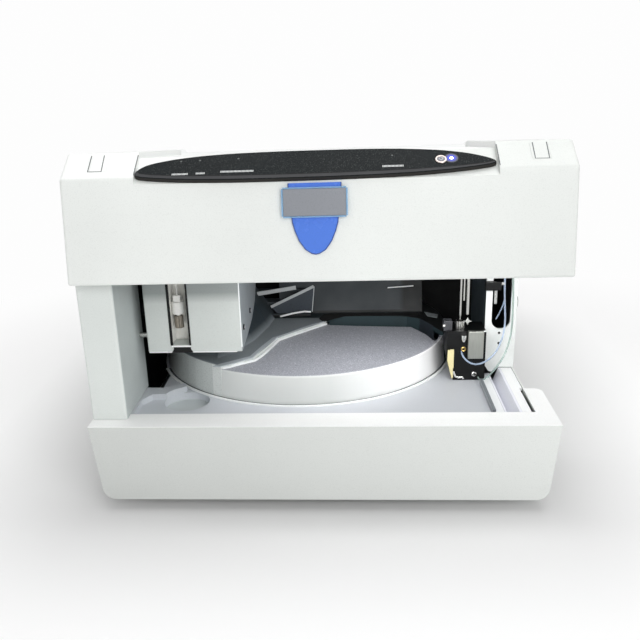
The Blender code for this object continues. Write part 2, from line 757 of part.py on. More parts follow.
def build_floor_tray(root):
    ring_start = carousel_angle(RIM_POINTS[5])
    circle = arc((CAROUSEL_X, CAROUSEL_Y), TRAY_RING_RADIUS, -math.tau, ring_start, 44)
    plan = [(TRAY_LEFT_X, TRAY_FRONT_Y), (TRAY_RIGHT_X, TRAY_FRONT_Y), (TRAY_RIGHT_X, TRAY_REAR_Y)]
    plan += [(COLUMN_LEFT_X - GAP, TRAY_REAR_Y), (COLUMN_LEFT_X - GAP, BLOCK_REAR_Y + LEDGE_DEPTH)]
    plan += [(CAROUSEL_X + TRAY_RING_RADIUS, BLOCK_REAR_Y + LEDGE_DEPTH)]
    plan += circle
    plan += [RIM_POINTS[6], RIM_POINTS[7], RIM_POINTS[8]]
    body = prism("z", plan, TRAY_FLOOR - TRAY_THICK, TRAY_FLOOR, "floor_tray")
    rim = prism("z", RIM_POINTS, TRAY_FLOOR - TRAY_THICK, TRAY_RIM_Z)
    cup = rod(CUP_RADIUS + CUP_WALL, CUP_FLOOR - CUP_WALL, TRAY_FLOOR - TRAY_THICK / 2, 40)
    shift(cup, CUP_CENTRE[0], CUP_CENTRE[1], 0.0)
    rail = block(
        (RAIL_LEFT_X, RAIL_FRONT_Y, TRAY_FLOOR - TRAY_THICK / 2),
        (RAIL_LEFT_X + RAIL_WIDTH, RAIL_REAR_Y, TRAY_RIM_Z),
    )
    join(body, rim, cup, rail)
    bay = block(
        (TROUGH_SECTION[1][0], TRAY_FRONT_Y - OVERCUT, TRAY_FLOOR - TRAY_THICK - OVERCUT),
        (TRAY_RIGHT_X + OVERCUT, TRAY_REAR_Y + OVERCUT, TRAY_RIM_Z + OVERCUT),
    )
    cut(body, bay)
    trough = prism("y", TROUGH_SECTION, TRAY_FRONT_Y, TRAY_REAR_Y)
    sill = block(
        (TRAY_RIGHT_X - SILL_THICK, WING_DEPTH + GAP, TRAY_RIM_Z - SILL_THICK),
        (SILL_RIGHT_X, TRAY_REAR_Y, TRAY_RIM_Z),
    )
    join(body, trough, sill)
    bowl = rod(CUP_RADIUS, CUP_FLOOR, TRAY_RIM_Z + OVERCUT, 40)
    shift(bowl, CUP_CENTRE[0], CUP_CENTRE[1], 0.0)
    hole = rod(TRAY_HOLE_RADIUS, TRAY_FLOOR - TRAY_THICK - OVERCUT, TRAY_FLOOR + OVERCUT, 72)
    shift(hole, CAROUSEL_X, CAROUSEL_Y, 0.0)
    cut(body, bowl, hole)
    finish_piece(body, "floor_tray", "tray_grey", root)


def build_left_post(root):
    outline = rounded_post_plan()
    body = prism("z", outline, POST_FOOT, POST_TOP, "left_post")
    hollow = block(
        (SHEET + GAP, POST_FRONT_Y + WALL, POST_FOOT + WALL),
        (POST_WIDTH - WALL, POST_REAR_Y + OVERCUT, POST_TOP - WALL),
    )
    cut(body, hollow)
    finish_piece(body, "left_post", "post_grey", root)


def rounded_post_plan():
    corner = EDGE_ROUND * 2
    plan = arc((corner, POST_FRONT_Y + corner), corner, math.pi, math.pi * 1.5, 4)
    plan += arc((POST_WIDTH - corner, POST_FRONT_Y + corner), corner, math.pi * 1.5, math.tau, 4)
    plan += [(POST_WIDTH, POST_REAR_Y), (0.0, POST_REAR_Y)]
    return plan


def side_outline(front, notch):
    rear = DEPTH - REAR_THICK - GAP
    return [
        (front, 0.0), (rear, 0.0), (rear, top_height(rear) - SHEET - GAP),
        (HOOD_REAR_Y + GAP, top_height(HOOD_REAR_Y) - SHEET - GAP), (HOOD_REAR_Y + GAP, POST_TOP),
        (notch, POST_TOP), (notch, TRAY_RIM_Z), (front, TRAY_RIM_Z),
    ]


def build_side_panels(root):
    left = prism("x", side_outline(PANEL_FRONT_Y, LEFT_NOTCH_Y), 0.0, SHEET, "left_side_panel")
    cut_vents(left, -OVERCUT, SHEET + OVERCUT)
    finish_piece(left, "left_side_panel", "shell_white", root)
    right = prism(
        "x", side_outline(RIGHT_PANEL_FRONT_Y, COLUMN_FRONT_Y + WALL + GAP),
        BODY_WIDTH - SHEET, BODY_WIDTH, "right_side_panel",
    )
    cut_vents(right, BODY_WIDTH - SHEET - OVERCUT, BODY_WIDTH + OVERCUT)
    finish_piece(right, "right_side_panel", "shell_white", root)


def cut_vents(panel, low, high):
    for index in range(VENT_COUNT):
        y = VENT_FRONT_Y + index * VENT_PITCH
        outline = (
            arc((y, VENT_BOTTOM), VENT_WIDTH / 2, math.pi, math.tau, 6)
            + arc((y, VENT_BOTTOM + VENT_LENGTH), VENT_WIDTH / 2, 0.0, math.pi, 6)
        )
        cut(panel, prism("x", outline, low, high))


def build_base_pan(root):
    low = (SHEET + GAP, PAN_FRONT_Y, 0.0)
    high = (BODY_WIDTH - SHEET - GAP, DEPTH - REAR_THICK - GAP, PAN_LIP)
    body = block(low, high, "base_pan")
    hollow = block(
        (low[0] + SHEET, low[1] + SHEET, SHEET), (high[0] - SHEET, high[1] - SHEET, PAN_LIP + OVERCUT),
    )
    cut(body, hollow)
    for shares in PILLAR_SHARES:
        pillar = rod(PILLAR_RADIUS, SHEET / 2, BOARD_Z - GAP, 12)
        join(body, shift(pillar, *board_place(*shares), 0.0))
    finish_piece(body, "base_pan", "dark_steel", root)


def build_right_column(root):
    front = [(BODY_WIDTH - inset, height) for inset, height in COLUMN_FOOT_INSETS]
    front += [(COLUMN_LEFT_X, COLUMN_TOP), (BODY_WIDTH, COLUMN_TOP)]
    body = prism("y", front, COLUMN_FRONT_Y, COLUMN_FRONT_Y + WALL, "right_column")
    flank = block(
        (COLUMN_LEFT_X, COLUMN_FRONT_Y + WALL / 2, COLUMN_FOOT_INSETS[-1][1]),
        (COLUMN_LEFT_X + WALL, COLUMN_REAR_Y, COLUMN_TOP),
    )
    join(body, flank)
    radius = (COLUMN_SLOT_RIGHT_X - COLUMN_SLOT_LEFT_X) / 2
    middle = (COLUMN_SLOT_RIGHT_X + COLUMN_SLOT_LEFT_X) / 2
    slot = (
        arc((middle, COLUMN_SLOT_BOTTOM + radius), radius, math.pi, math.tau, 12)
        + arc((middle, COLUMN_SLOT_TOP - radius), radius, 0.0, math.pi, 12)
    )
    cut(body, prism("y", slot, COLUMN_FRONT_Y - OVERCUT, COLUMN_FRONT_Y + WALL + OVERCUT))
    for x, z, hole in COLUMN_HOLES:
        tool = arc((x, z), hole, 0.0, math.tau, 10)[:-1]
        cut(body, prism("y", tool, COLUMN_FRONT_Y - OVERCUT, COLUMN_FRONT_Y + WALL + OVERCUT))
    finish_piece(body, "right_column", "shell_white", root)


def hood_section(drop):
    """Side outline of the hood, its sloping strip and top set down by a distance."""
    normal = Vector((-SLOPE_UP[1], SLOPE_UP[0]))
    strip = Vector(HOOD_FRONT_TOP) - normal * drop
    reach = (strip[0] * FACE_UP[1] - (strip[1] - HOOD_BOTTOM) * FACE_UP[0]) / (
        SLOPE_UP[1] * FACE_UP[0] - SLOPE_UP[0] * FACE_UP[1]
    )
    edge = strip + SLOPE_UP * reach
    crest_y = HOOD_CREST[0]
    crest_z = strip[1] + (crest_y - strip[0]) * SLOPE_UP[1] / SLOPE_UP[0]
    rear_z = crest_z - (HOOD_REAR_Y - crest_y) * TOP_SLOPE
    return [
        (0.0, HOOD_BOTTOM), (HOOD_REAR_Y, HOOD_BOTTOM), (HOOD_REAR_Y, rear_z),
        (crest_y, crest_z), (edge[0], edge[1]),
    ]


def build_hood(root):
    body = prism("x", hood_section(0.0), 0.0, WIDTH, "hood")
    soften(body, EDGE_ROUND * 2, 3)
    saddle_tool = prism("x", saddle_section(), MIDDLE_LEFT_X, MIDDLE_RIGHT_X)
    cut(body, saddle_tool)
    drop = MIDDLE_DROP + WALL
    inner = hood_section(drop)
    wall_line = [
        (WALL, HOOD_BOTTOM - OVERCUT), (HOOD_REAR_Y + OVERCUT, HOOD_BOTTOM - OVERCUT),
        (HOOD_REAR_Y + OVERCUT, inner[2][1]), inner[3], (inner[4][0] + WALL, inner[4][1]),
    ]
    cavity = prism("x", wall_line, WALL, BODY_WIDTH - WALL)
    overhang_line = [
        wall_line[0], (HOOD_REAR_Y - WALL, wall_line[1][1]), (HOOD_REAR_Y - WALL, inner[2][1]),
        wall_line[3], wall_line[4],
    ]
    overhang = prism("x", overhang_line, BODY_WIDTH - WALL - OVERCUT, WIDTH - WALL)
    cut(body, cavity, overhang)
    for left in (PAD_LEFT_X, PAD_RIGHT_X):
        pad = block(
            (left, PAD_SLOPE_START, -PAD_DEPTH),
            (left + PAD_SIZE[0], PAD_SLOPE_START + PAD_SIZE[1], PAD_SIZE[1]),
        )
        place(pad, slope_frame())
        cut(body, pad)
    finish_piece(body, "hood", "shell_white", root)


def saddle_section():
    """The low middle of the hood top: a wedge taken off above the dropped outline."""
    low = hood_section(MIDDLE_DROP)
    over = HOOD_CREST[1] + MIDDLE_DROP * 2
    normal = Vector((-SLOPE_UP[1], SLOPE_UP[0]))
    start = Vector(low[4]) - SLOPE_UP * MIDDLE_DROP
    lift = start + normal * MIDDLE_DROP * 3
    return [
        tuple(start), low[3], (HOOD_REAR_Y + OVERCUT, low[2][1] - OVERCUT * TOP_SLOPE),
        (HOOD_REAR_Y + OVERCUT, over), (HOOD_CREST[0], over), tuple(lift),
    ]


def build_top_cover(root):
    rear = DEPTH
    front = HOOD_REAR_Y + GAP
    drop = MIDDLE_DROP / SLOPE_UP[0]
    section = [
        (front, top_height(front)), (front, top_height(front) - SHEET - drop),
        (rear - REAR_THICK - GAP, top_height(rear) - SHEET - drop), (rear, top_height(rear) - SHEET - drop),
        (rear, top_height(rear)),
    ]
    body = prism("x", section, 0.0, BODY_WIDTH, "top_cover")
    soften(body, EDGE_ROUND, 2)
    under = [
        (front - OVERCUT, top_height(front - OVERCUT) - SHEET - drop - OVERCUT),
        (front - OVERCUT, top_height(front - OVERCUT) - SHEET),
        (rear - REAR_THICK, top_height(rear - REAR_THICK) - SHEET),
        (rear - REAR_THICK, top_height(rear - REAR_THICK) - SHEET - drop - OVERCUT),
    ]
    for low, high in ((-OVERCUT, SHEET + GAP), (BODY_WIDTH - SHEET - GAP, BODY_WIDTH + OVERCUT)):
        cut(body, prism("x", under, low, high))
    cut(body, prism("x", under, SHEET * 2, MIDDLE_LEFT_X - WALL))
    cut(body, prism("x", under, MIDDLE_RIGHT_X + WALL, BODY_WIDTH - SHEET * 2))
    saddle = [
        (front - OVERCUT, top_height(front - OVERCUT) - drop), (rear + OVERCUT, top_height(rear + OVERCUT) - drop),
        (rear + OVERCUT, HOOD_CREST[1]), (front - OVERCUT, HOOD_CREST[1]),
    ]
    cut(body, prism("x", saddle, MIDDLE_LEFT_X, MIDDLE_RIGHT_X))
    finish_piece(body, "top_cover", "shell_white", root)


def build_rear_panel(root):
    drop = MIDDLE_DROP / SLOPE_UP[0]
    top = top_height(DEPTH) - SHEET - drop - GAP
    low = (0.0, DEPTH - REAR_THICK, 0.0)
    high = (BODY_WIDTH, DEPTH, top)
    body = block(low, high, "rear_panel")
    for index in range(GRILLE_COUNT):
        offset = (index - (GRILLE_COUNT - 1) / 2) * GRILLE_PITCH
        half = math.sqrt(FAN_BORE ** 2 - offset ** 2) - GRILLE_SLOT / 2
        radius = GRILLE_SLOT / 2
        level = FAN_Z + offset
        outline = (
            arc((FAN_X - half, level), radius, math.pi * 1.5, math.pi * 0.5, 4)
            + arc((FAN_X + half, level), radius, math.pi * 0.5, -math.pi * 0.5, 4)
        )
        cut(body, prism("y", outline, low[1] - OVERCUT, DEPTH + OVERCUT))
    windows = ((INLET_X, INLET_Z, INLET_SIZE), (SWITCH_X, SWITCH_Z, SWITCH_SIZE))
    for x, z, size in windows:
        wide = size[0] / 2 + BORE_CLEARANCE
        tall = size[1] / 2 + BORE_CLEARANCE
        window = block((x - wide, low[1] - OVERCUT, z - tall), (x + wide, DEPTH + OVERCUT, z + tall))
        cut(body, window)
    finish_piece(body, "rear_panel", "shell_white", root)


def build_status_bar(root):
    body = prism("z", curved(LENS_POINTS, LENS_STEPS), -LENS_THICK, 0.0, "status_bar")
    soften(body, EDGE_ROUND / 2, 2, math.radians(60))
    for centre, radius in ((BUTTON_CENTRE, BUTTON_RADIUS), (LAMP_CENTRE, LAMP_RADIUS)):
        bore = rod(radius + BORE_CLEARANCE, -LENS_THICK - OVERCUT, OVERCUT, 28)
        shift(bore, centre[0], centre[1], 0.0)
        cut(body, bore)
    place(body, slope_frame())
    finish_piece(body, "status_bar", "lens_black", root)


def build_button_and_lamp(root):
    frame = slope_frame()
    button = turned(
        (
            (0.0, BUTTON_PROUD - BUTTON_THICK), (BUTTON_RADIUS, BUTTON_PROUD - BUTTON_THICK),
            (BUTTON_RADIUS, BUTTON_PROUD / 2), (BUTTON_RADIUS - BUTTON_PROUD / 2, BUTTON_PROUD),
            (BUTTON_RADIUS * BUTTON_RIM_SHARE, BUTTON_PROUD), (BUTTON_RADIUS * BUTTON_DISH_SHARE, BUTTON_PROUD / 2),
            (0.0, BUTTON_PROUD / 3),
        ),
        28, "power_button",
    )
    shift(button, BUTTON_CENTRE[0], BUTTON_CENTRE[1], 0.0)
    place(button, frame)
    origin = frame @ Vector((BUTTON_CENTRE[0], BUTTON_CENTRE[1], 0.0))
    finish_piece(button, "power_button", "steel", root, origin)
    lamp = turned(
        (
            (0.0, LAMP_PROUD - LAMP_THICK), (LAMP_RADIUS, LAMP_PROUD - LAMP_THICK), (LAMP_RADIUS, 0.0),
            (LAMP_RADIUS * LAMP_CROWN_SHARE, LAMP_PROUD * LAMP_CROWN_HEIGHT_SHARE), (0.0, LAMP_PROUD),
        ),
        16, "status_lamp",
    )
    shift(lamp, LAMP_CENTRE[0], LAMP_CENTRE[1], 0.0)
    place(lamp, frame)
    finish_piece(lamp, "status_lamp", "lamp_blue", root)


def build_badge(root):
    frame = face_frame()
    tongue = prism("z", TONGUE_POINTS, GAP, TONGUE_THICK, "badge_tongue")
    place(tongue, frame)
    finish_piece(tongue, "badge_tongue", "tongue_blue", root)
    low = TONGUE_THICK + GAP
    plate = block(
        (BADGE_LEFT_X, BADGE_BOTTOM, low), (BADGE_RIGHT_X, BADGE_TOP, low + BADGE_THICK), "badge_plate",
    )
    soften(plate, EDGE_ROUND / 3, 2)
    place(plate, frame)
    finish_piece(plate, "badge_plate", "badge_grey", root)


def door_arc(radius, start, end):
    return [
        (DOOR_AXIS_Y - radius * math.cos(angle), DOOR_AXIS_Z + radius * math.sin(angle))
        for angle in [start + (end - start) * step / DOOR_STEPS for step in range(DOOR_STEPS + 1)]
    ]


def build_front_door(root):
    outer = door_arc(DOOR_RADIUS, DOOR_LOW_ANGLE, DOOR_HIGH_ANGLE)
    inner = door_arc(DOOR_RADIUS - DOOR_THICK, DOOR_HIGH_ANGLE, DOOR_LOW_ANGLE)
    body = prism("x", outer + inner, DOOR_LEFT_X, DOOR_RIGHT_X, "front_door")
    hub = arc((0.0, 0.0), ARM_HUB_RADIUS, ARM_HUB_START_ANGLE, ARM_HUB_END_ANGLE, 14)
    profile = list(ARM_FRONT_POINTS) + hub + list(ARM_BACK_POINTS)
    outline = [(DOOR_AXIS_Y + y, DOOR_AXIS_Z + z) for y, z in profile]
    for left in (ARM_LEFT_X, ARM_RIGHT_X):
        arm = prism("x", outline, left, left + ARM_THICK)
        bore = arc((DOOR_AXIS_Y, DOOR_AXIS_Z), ARM_BORE_RADIUS, 0.0, math.tau, 24)[:-1]
        cut(arm, prism("x", bore, left - OVERCUT, left + ARM_THICK + OVERCUT))
        join(body, arm)
    finish_piece(body, "front_door", "shell_white", root, (WIDTH / 2, DOOR_AXIS_Y, DOOR_AXIS_Z))


def build_door_pivots(root):
    turn = Matrix.Rotation(math.pi / 2, 4, "Y")
    spot = Matrix.Translation((0.0, DOOR_AXIS_Y, DOOR_AXIS_Z))
    left = turned(
        (
            (0.0, SHEET + GAP), (PIVOT_BOSS_RADIUS, SHEET + GAP), (PIVOT_BOSS_RADIUS, ARM_LEFT_X - GAP),
            (PIVOT_RADIUS, ARM_LEFT_X - GAP), (PIVOT_RADIUS, ARM_LEFT_X + ARM_THICK + GAP),
            (PIVOT_CAP_RADIUS, ARM_LEFT_X + ARM_THICK + GAP),
            (PIVOT_CAP_RADIUS, ARM_LEFT_X + ARM_THICK + GAP + PIVOT_CAP_THICK),
            (0.0, ARM_LEFT_X + ARM_THICK + GAP + PIVOT_CAP_THICK),
        ),
        28, "door_pivot_left",
    )
    place(left, spot @ turn)
    finish_piece(left, "door_pivot_left", "dark_steel", root)
    outside = ARM_RIGHT_X + ARM_THICK + GAP
    right = turned(
        (
            (0.0, ARM_RIGHT_X), (PIVOT_RADIUS, ARM_RIGHT_X), (PIVOT_RADIUS, outside), (PIVOT_CAP_RADIUS, outside),
            (PIVOT_CAP_RADIUS, outside + PIVOT_CAP_THICK), (0.0, outside + PIVOT_CAP_THICK),
        ),
        28, "door_pivot_right",
    )
    place(right, spot @ turn)
    finish_piece(right, "door_pivot_right", "dark_steel", root)


def build_inner_deck(root):
    left = SHEET + GAP
    right = BODY_WIDTH - SHEET - GAP
    plan = [
        (DECK_NARROW_X, DECK_FRONT_Y), (COLUMN_LEFT_X, DECK_FRONT_Y), (DECK_RIGHT_X, DECK_FRONT_Y),
        (DECK_RIGHT_X, DECK_STEP_Y), (right, DECK_STEP_Y), (right, DECK_REAR_Y), (left, DECK_REAR_Y),
        (left, DECK_STEP_Y), (DECK_NARROW_X, DECK_STEP_Y),
    ]
    body = prism("z", plan, DECK_Z, DECK_Z + SHEET, "inner_deck")
    lip = block(
        (DECK_NARROW_X, DECK_FRONT_Y, DECK_Z + SHEET / 2), (DECK_RIGHT_X, DECK_FRONT_Y + SHEET, DECK_Z + DECK_LIP),
    )
    join(body, lip)
    for low, high in ((left, left + SHEET), (right - SHEET, right)):
        side = block((low, DECK_STEP_Y, DECK_Z - DECK_LIP), (high, DECK_REAR_Y, DECK_Z + SHEET / 2))
        join(body, side)
    finish_piece(body, "inner_deck", "dark_steel", root)


def build_syringe_cover(root):
    body = prism("x", BOX_SECTION, BOX_LEFT_X, BOX_RIGHT_X, "syringe_cover")
    soften(body, EDGE_ROUND, 2)
    rear = BOX_SECTION[-1][0]
    top = BOX_SECTION[-1][1]
    hollow_section = [
        (BOX_FRONT_Y + BOX_WALL, top + OVERCUT), (BOX_FRONT_Y + BOX_WALL, BOX_SECTION[2][1] + BOX_WALL),
        (BOX_SECTION[3][0], BOX_SECTION[3][1] + BOX_WALL), (BOX_SECTION[4][0], BOX_SECTION[4][1] + BOX_WALL),
        (BOX_SECTION[5][0], BOX_SECTION[5][1] + BOX_BEND_WALL), (rear - BOX_WALL, BOX_SECTION[6][1] + BOX_WALL * 2),
        (rear - BOX_WALL, top + OVERCUT),
    ]
    slot_wall_left = BOX_SLOT_LEFT_X - BOX_WALL
    slot_wall_right = BOX_SLOT_RIGHT_X + BOX_WALL
    hollow = prism("x", hollow_section, BOX_LEFT_X + BOX_WALL, BOX_RIGHT_X - BOX_WALL)
    island = block(
        (slot_wall_left, BOX_FRONT_Y, BOX_SECTION[2][1]),
        (slot_wall_right, BOX_FRONT_Y + BOX_SLOT_DEPTH + BOX_WALL, top + OVERCUT * 2),
    )
    cut(hollow, island)
    cut(body, hollow)
    recess = block(
        (BOX_SLOT_LEFT_X, BOX_FRONT_Y - OVERCUT, BOX_SLOT_BOTTOM),
        (BOX_SLOT_RIGHT_X, BOX_FRONT_Y + BOX_SLOT_DEPTH, top + OVERCUT),
    )
    cut(body, recess)
    finish_piece(body, "syringe_cover", "post_grey", root)


def build_syringe_parts(root):
    back = BOX_FRONT_Y + BOX_SLOT_DEPTH - GAP
    plate = block(
        (BOX_SLOT_LEFT_X + GAP, back - BACK_PLATE_THICK, BOX_SLOT_BOTTOM + GAP),
        (BOX_SLOT_RIGHT_X - GAP, back, BACK_PLATE_TOP), "syringe_back_plate",
    )
    shelf_top = BARREL_BOTTOM - GAP
    shelf = block(
        (SYRINGE_X - COLLAR_RADIUS, SYRINGE_Y - COLLAR_RADIUS, shelf_top - SHELF_THICK),
        (SYRINGE_X + COLLAR_RADIUS, back - BACK_PLATE_THICK / 2, shelf_top),
    )
    join(plate, shelf)
    passage = rod(SHELF_BORE, shelf_top - SHELF_THICK - OVERCUT, shelf_top + OVERCUT, 20)
    cut(plate, shift(passage, SYRINGE_X, SYRINGE_Y, 0.0))
    finish_piece(plate, "syringe_back_plate", "beige", root)
    barrel = ring(
        (
            (BARREL_BORE, BARREL_BOTTOM), (BARREL_RADIUS, BARREL_BOTTOM), (BARREL_RADIUS, BARREL_TOP),
            (BARREL_BORE, BARREL_TOP),
        ),
        28, "syringe_barrel",
    )
    shift(barrel, SYRINGE_X, SYRINGE_Y, 0.0)
    finish_piece(barrel, "syringe_barrel", "glass", root)
    clamp = block(
        (-CLAMP_WIDTH / 2, -CLAMP_WIDTH / 2, CLAMP_BOTTOM), (CLAMP_WIDTH / 2, CLAMP_WIDTH / 2, CLAMP_TOP),
        "syringe_plunger",
    )
    stem = turned(
        (
            (0.0, NUT_TOP + GAP), (NECK_RADIUS, NUT_TOP + GAP), (NECK_RADIUS, COLLAR_BOTTOM),
            (COLLAR_RADIUS, COLLAR_BOTTOM), (COLLAR_RADIUS, CLAMP_BOTTOM + GAP), (ROD_RADIUS, CLAMP_BOTTOM + GAP),
            (ROD_RADIUS, ROD_TOP), (0.0, ROD_TOP),
        ),
        28,
    )
    join(clamp, stem)
    shift(clamp, SYRINGE_X, SYRINGE_Y, 0.0)
    finish_piece(clamp, "syringe_plunger", "white_plastic", root, (SYRINGE_X, SYRINGE_Y, COLLAR_BOTTOM))
    nut = fluted(NUT_RADIUS, NUT_BOTTOM, NUT_TOP, NUT_FLUTES, NUT_FLUTE_SHARE, "plunger_screw")
    shift(nut, SYRINGE_X, SYRINGE_Y, 0.0)
    finish_piece(nut, "plunger_screw", "black_plastic", root, (SYRINGE_X, SYRINGE_Y, NUT_BOTTOM))
    hang = DECK_Z - GAP
    drive = block(
        (DRIVE_CORNER[0], DRIVE_CORNER[1], hang - DRIVE_SIZE[2]),
        (DRIVE_CORNER[0] + DRIVE_SIZE[0], DRIVE_CORNER[1] + DRIVE_SIZE[1], hang), "syringe_drive",
    )
    soften(drive, EDGE_ROUND, 2)
    finish_piece(drive, "syringe_drive", "dark_steel", root)


def build_spacer_stud(root):
    turn = Matrix.Rotation(math.pi / 2, 4, "Y")
    low = POST_WIDTH + GAP
    high = BOX_LEFT_X - GAP
    stud = turned(
        (
            (0.0, low), (STUD_RADIUS, low), (STUD_RADIUS, high - STUD_FLANGE_THICK),
            (STUD_FLANGE_RADIUS, high - STUD_FLANGE_THICK), (STUD_FLANGE_RADIUS, high), (0.0, high),
        ),
        20, "spacer_stud",
    )
    place(stud, Matrix.Translation((0.0, STUD_Y, STUD_Z)) @ turn)
    finish_piece(stud, "spacer_stud", "steel", root)


def drafted_plan(points, radius_step):
    """Move the corners on the cover's circle in or out; a step inward leaves both ends of the rim alone."""
    reaches = [math.hypot(x - CAROUSEL_X, y - CAROUSEL_Y) for x, y in points]
    moving = [index for index, reach in enumerate(reaches) if abs(reach - COVER_RADIUS) < GAP]
    if radius_step < 0:
        moving = moving[1:-1]
    result = list(points)
    for index in moving:
        grow = (reaches[index] + radius_step) / reaches[index]
        x, y = points[index]
        result[index] = (CAROUSEL_X + (x - CAROUSEL_X) * grow, CAROUSEL_Y + (y - CAROUSEL_Y) * grow)
    return result


def drafted_levels(plan, low, high):
    """The plan from its drafted foot up to a rounded rim."""
    foot = COVER_FOOT_RADIUS - COVER_RADIUS
    middle = COVER_ROUND * COVER_ROUND_MIDDLE_SHARE
    return (
        (drafted_plan(plan, foot), low),
        (plan, high - COVER_ROUND),
        (drafted_plan(plan, -middle), high - middle),
        (drafted_plan(plan, -COVER_ROUND), high),
    )


def cover_plan():
    start = carousel_angle(COVER_LEFT)
    end = carousel_angle(COVER_RIGHT)
    rim = arc((CAROUSEL_X, CAROUSEL_Y), COVER_RADIUS, start, end, 40)
    return rim + list(reversed(SLOT_FRONT_POINTS[:4])) + list(reversed(STEP_POINTS))


def shroud_plan():
    start = carousel_angle(COVER_RIGHT) + GAP / COVER_RADIUS
    end = carousel_angle(COVER_LEFT) + math.tau - GAP / COVER_RADIUS
    rim = arc((CAROUSEL_X, CAROUSEL_Y), COVER_RADIUS, start, end, 56)
    step = [(x - SHROUD_STEP_SHIFT, y + SHROUD_STEP_SHIFT) for x, y in STEP_POINTS]
    return rim + step + list(SLOT_REAR_POINTS)


def inner_disc(low, high):
    disc = rod(COVER_RADIUS - COVER_WALL, low, high, 72)
    return shift(disc, CAROUSEL_X, CAROUSEL_Y, 0.0)


def build_carousel_cover(root):
    low = TRAY_FLOOR + GAP
    body = loft(drafted_levels(cover_plan(), low, COVER_TOP), "carousel_cover")
    cut(body, inner_disc(low - OVERCUT * 2, COVER_TOP - COVER_WALL))
    cut(body, prism("z", SLOT_END_POINTS, COVER_TOP - COVER_WALL * 2, COVER_TOP + OVERCUT))
    finish_piece(body, "carousel_cover", "cover_grey", root)


def slot_skirt():
    """A lip hanging down along the rear edge of the needle slot."""
    edge = SLOT_REAR_POINTS[1:5]
    behind = [(x + SLOT_SKIRT_THICK, y + SLOT_SKIRT_THICK) for x, y in reversed(edge)]
    return prism("z", list(edge) + behind, SLOT_SKIRT_BOTTOM, SHROUD_TOP - COVER_WALL)


def build_carousel_shroud(root):
    low = TRAY_FLOOR + GAP
    body = loft(drafted_levels(shroud_plan(), low, SHROUD_TOP), "carousel_shroud")
    cut(body, inner_disc(low - OVERCUT * 2, SHROUD_TOP - COVER_WALL * 2))
    hill = loft(((HILL_FOOT, SHROUD_TOP - COVER_WALL), (HILL_CREST, HILL_CREST_Z)))
    wall = prism("x", WALL_SECTION, WALL_LEFT_X, WALL_RIGHT_X)
    join(body, hill, wall, slot_skirt())
    for index in range(LOUVRE_COUNT):
        level = LOUVRE_FIRST_Z + index * LOUVRE_PITCH
        slat = prism(
            "x",
            (
                (LOUVRE_FRONT_Y + index * LOUVRE_SHIFT, level), (LOUVRE_REAR_Y, level),
                (LOUVRE_REAR_Y, level + LOUVRE_THICK), (LOUVRE_FRONT_Y + index * LOUVRE_SHIFT, level + LOUVRE_THICK),
            ),
            LOUVRE_LEFT_X, LOUVRE_RIGHT_X,
        )
        join(body, slat)
    finish_piece(body, "carousel_shroud", "shroud_dark", root)


def build_cooling_well(root):
    top = TRAY_FLOOR - TRAY_THICK - GAP
    body = ring(
        (
            (SHAFT_RADIUS + SHAFT_CLEARANCE, WELL_FLOOR), (WELL_RADIUS, WELL_FLOOR),
            (WELL_RADIUS, top - WELL_WALL), (WELL_FLANGE_RADIUS, top - WELL_WALL), (WELL_FLANGE_RADIUS, top),
            (WELL_RADIUS - WELL_WALL, top), (WELL_RADIUS - WELL_WALL, WELL_FLOOR + WELL_WALL),
            (SHAFT_RADIUS + SHAFT_CLEARANCE, WELL_FLOOR + WELL_WALL),
        ),
        48, "cooling_well",
    )
    shift(body, CAROUSEL_X, CAROUSEL_Y, 0.0)
    finish_piece(body, "cooling_well", "dark_steel", root)
    motor = turned(
        (
            (0.0, MOTOR_BOTTOM), (MOTOR_RADIUS, MOTOR_BOTTOM), (MOTOR_RADIUS, WELL_FLOOR - GAP),
            (SHAFT_RADIUS, WELL_FLOOR - GAP), (SHAFT_RADIUS, ROTOR_BOTTOM - GAP), (0.0, ROTOR_BOTTOM - GAP),
        ),
        32, "carousel_motor",
    )
    shift(motor, CAROUSEL_X, CAROUSEL_Y, 0.0)
    finish_piece(motor, "carousel_motor", "dark_steel", root)


def build_carousel_rotor(root):
    body = turned(
        (
            (0.0, ROTOR_BOTTOM), (ROTOR_RADIUS, ROTOR_BOTTOM), (ROTOR_RADIUS, ROTOR_BOTTOM + ROTOR_THICK),
            (HUB_RADIUS, ROTOR_BOTTOM + ROTOR_THICK), (HUB_WAIST_RADIUS, HUB_WAIST_Z),
            (HUB_WAIST_RADIUS, HUB_TOP - ROTOR_THICK * 2), (HUB_RADIUS, HUB_TOP - ROTOR_THICK), (HUB_RADIUS, HUB_TOP),
            (0.0, HUB_TOP),
        ),
        48, "carousel_rotor",
    )
    shift(body, CAROUSEL_X, CAROUSEL_Y, 0.0)
    finish_piece(body, "carousel_rotor", "black_plastic", root, (CAROUSEL_X, CAROUSEL_Y, ROTOR_BOTTOM))


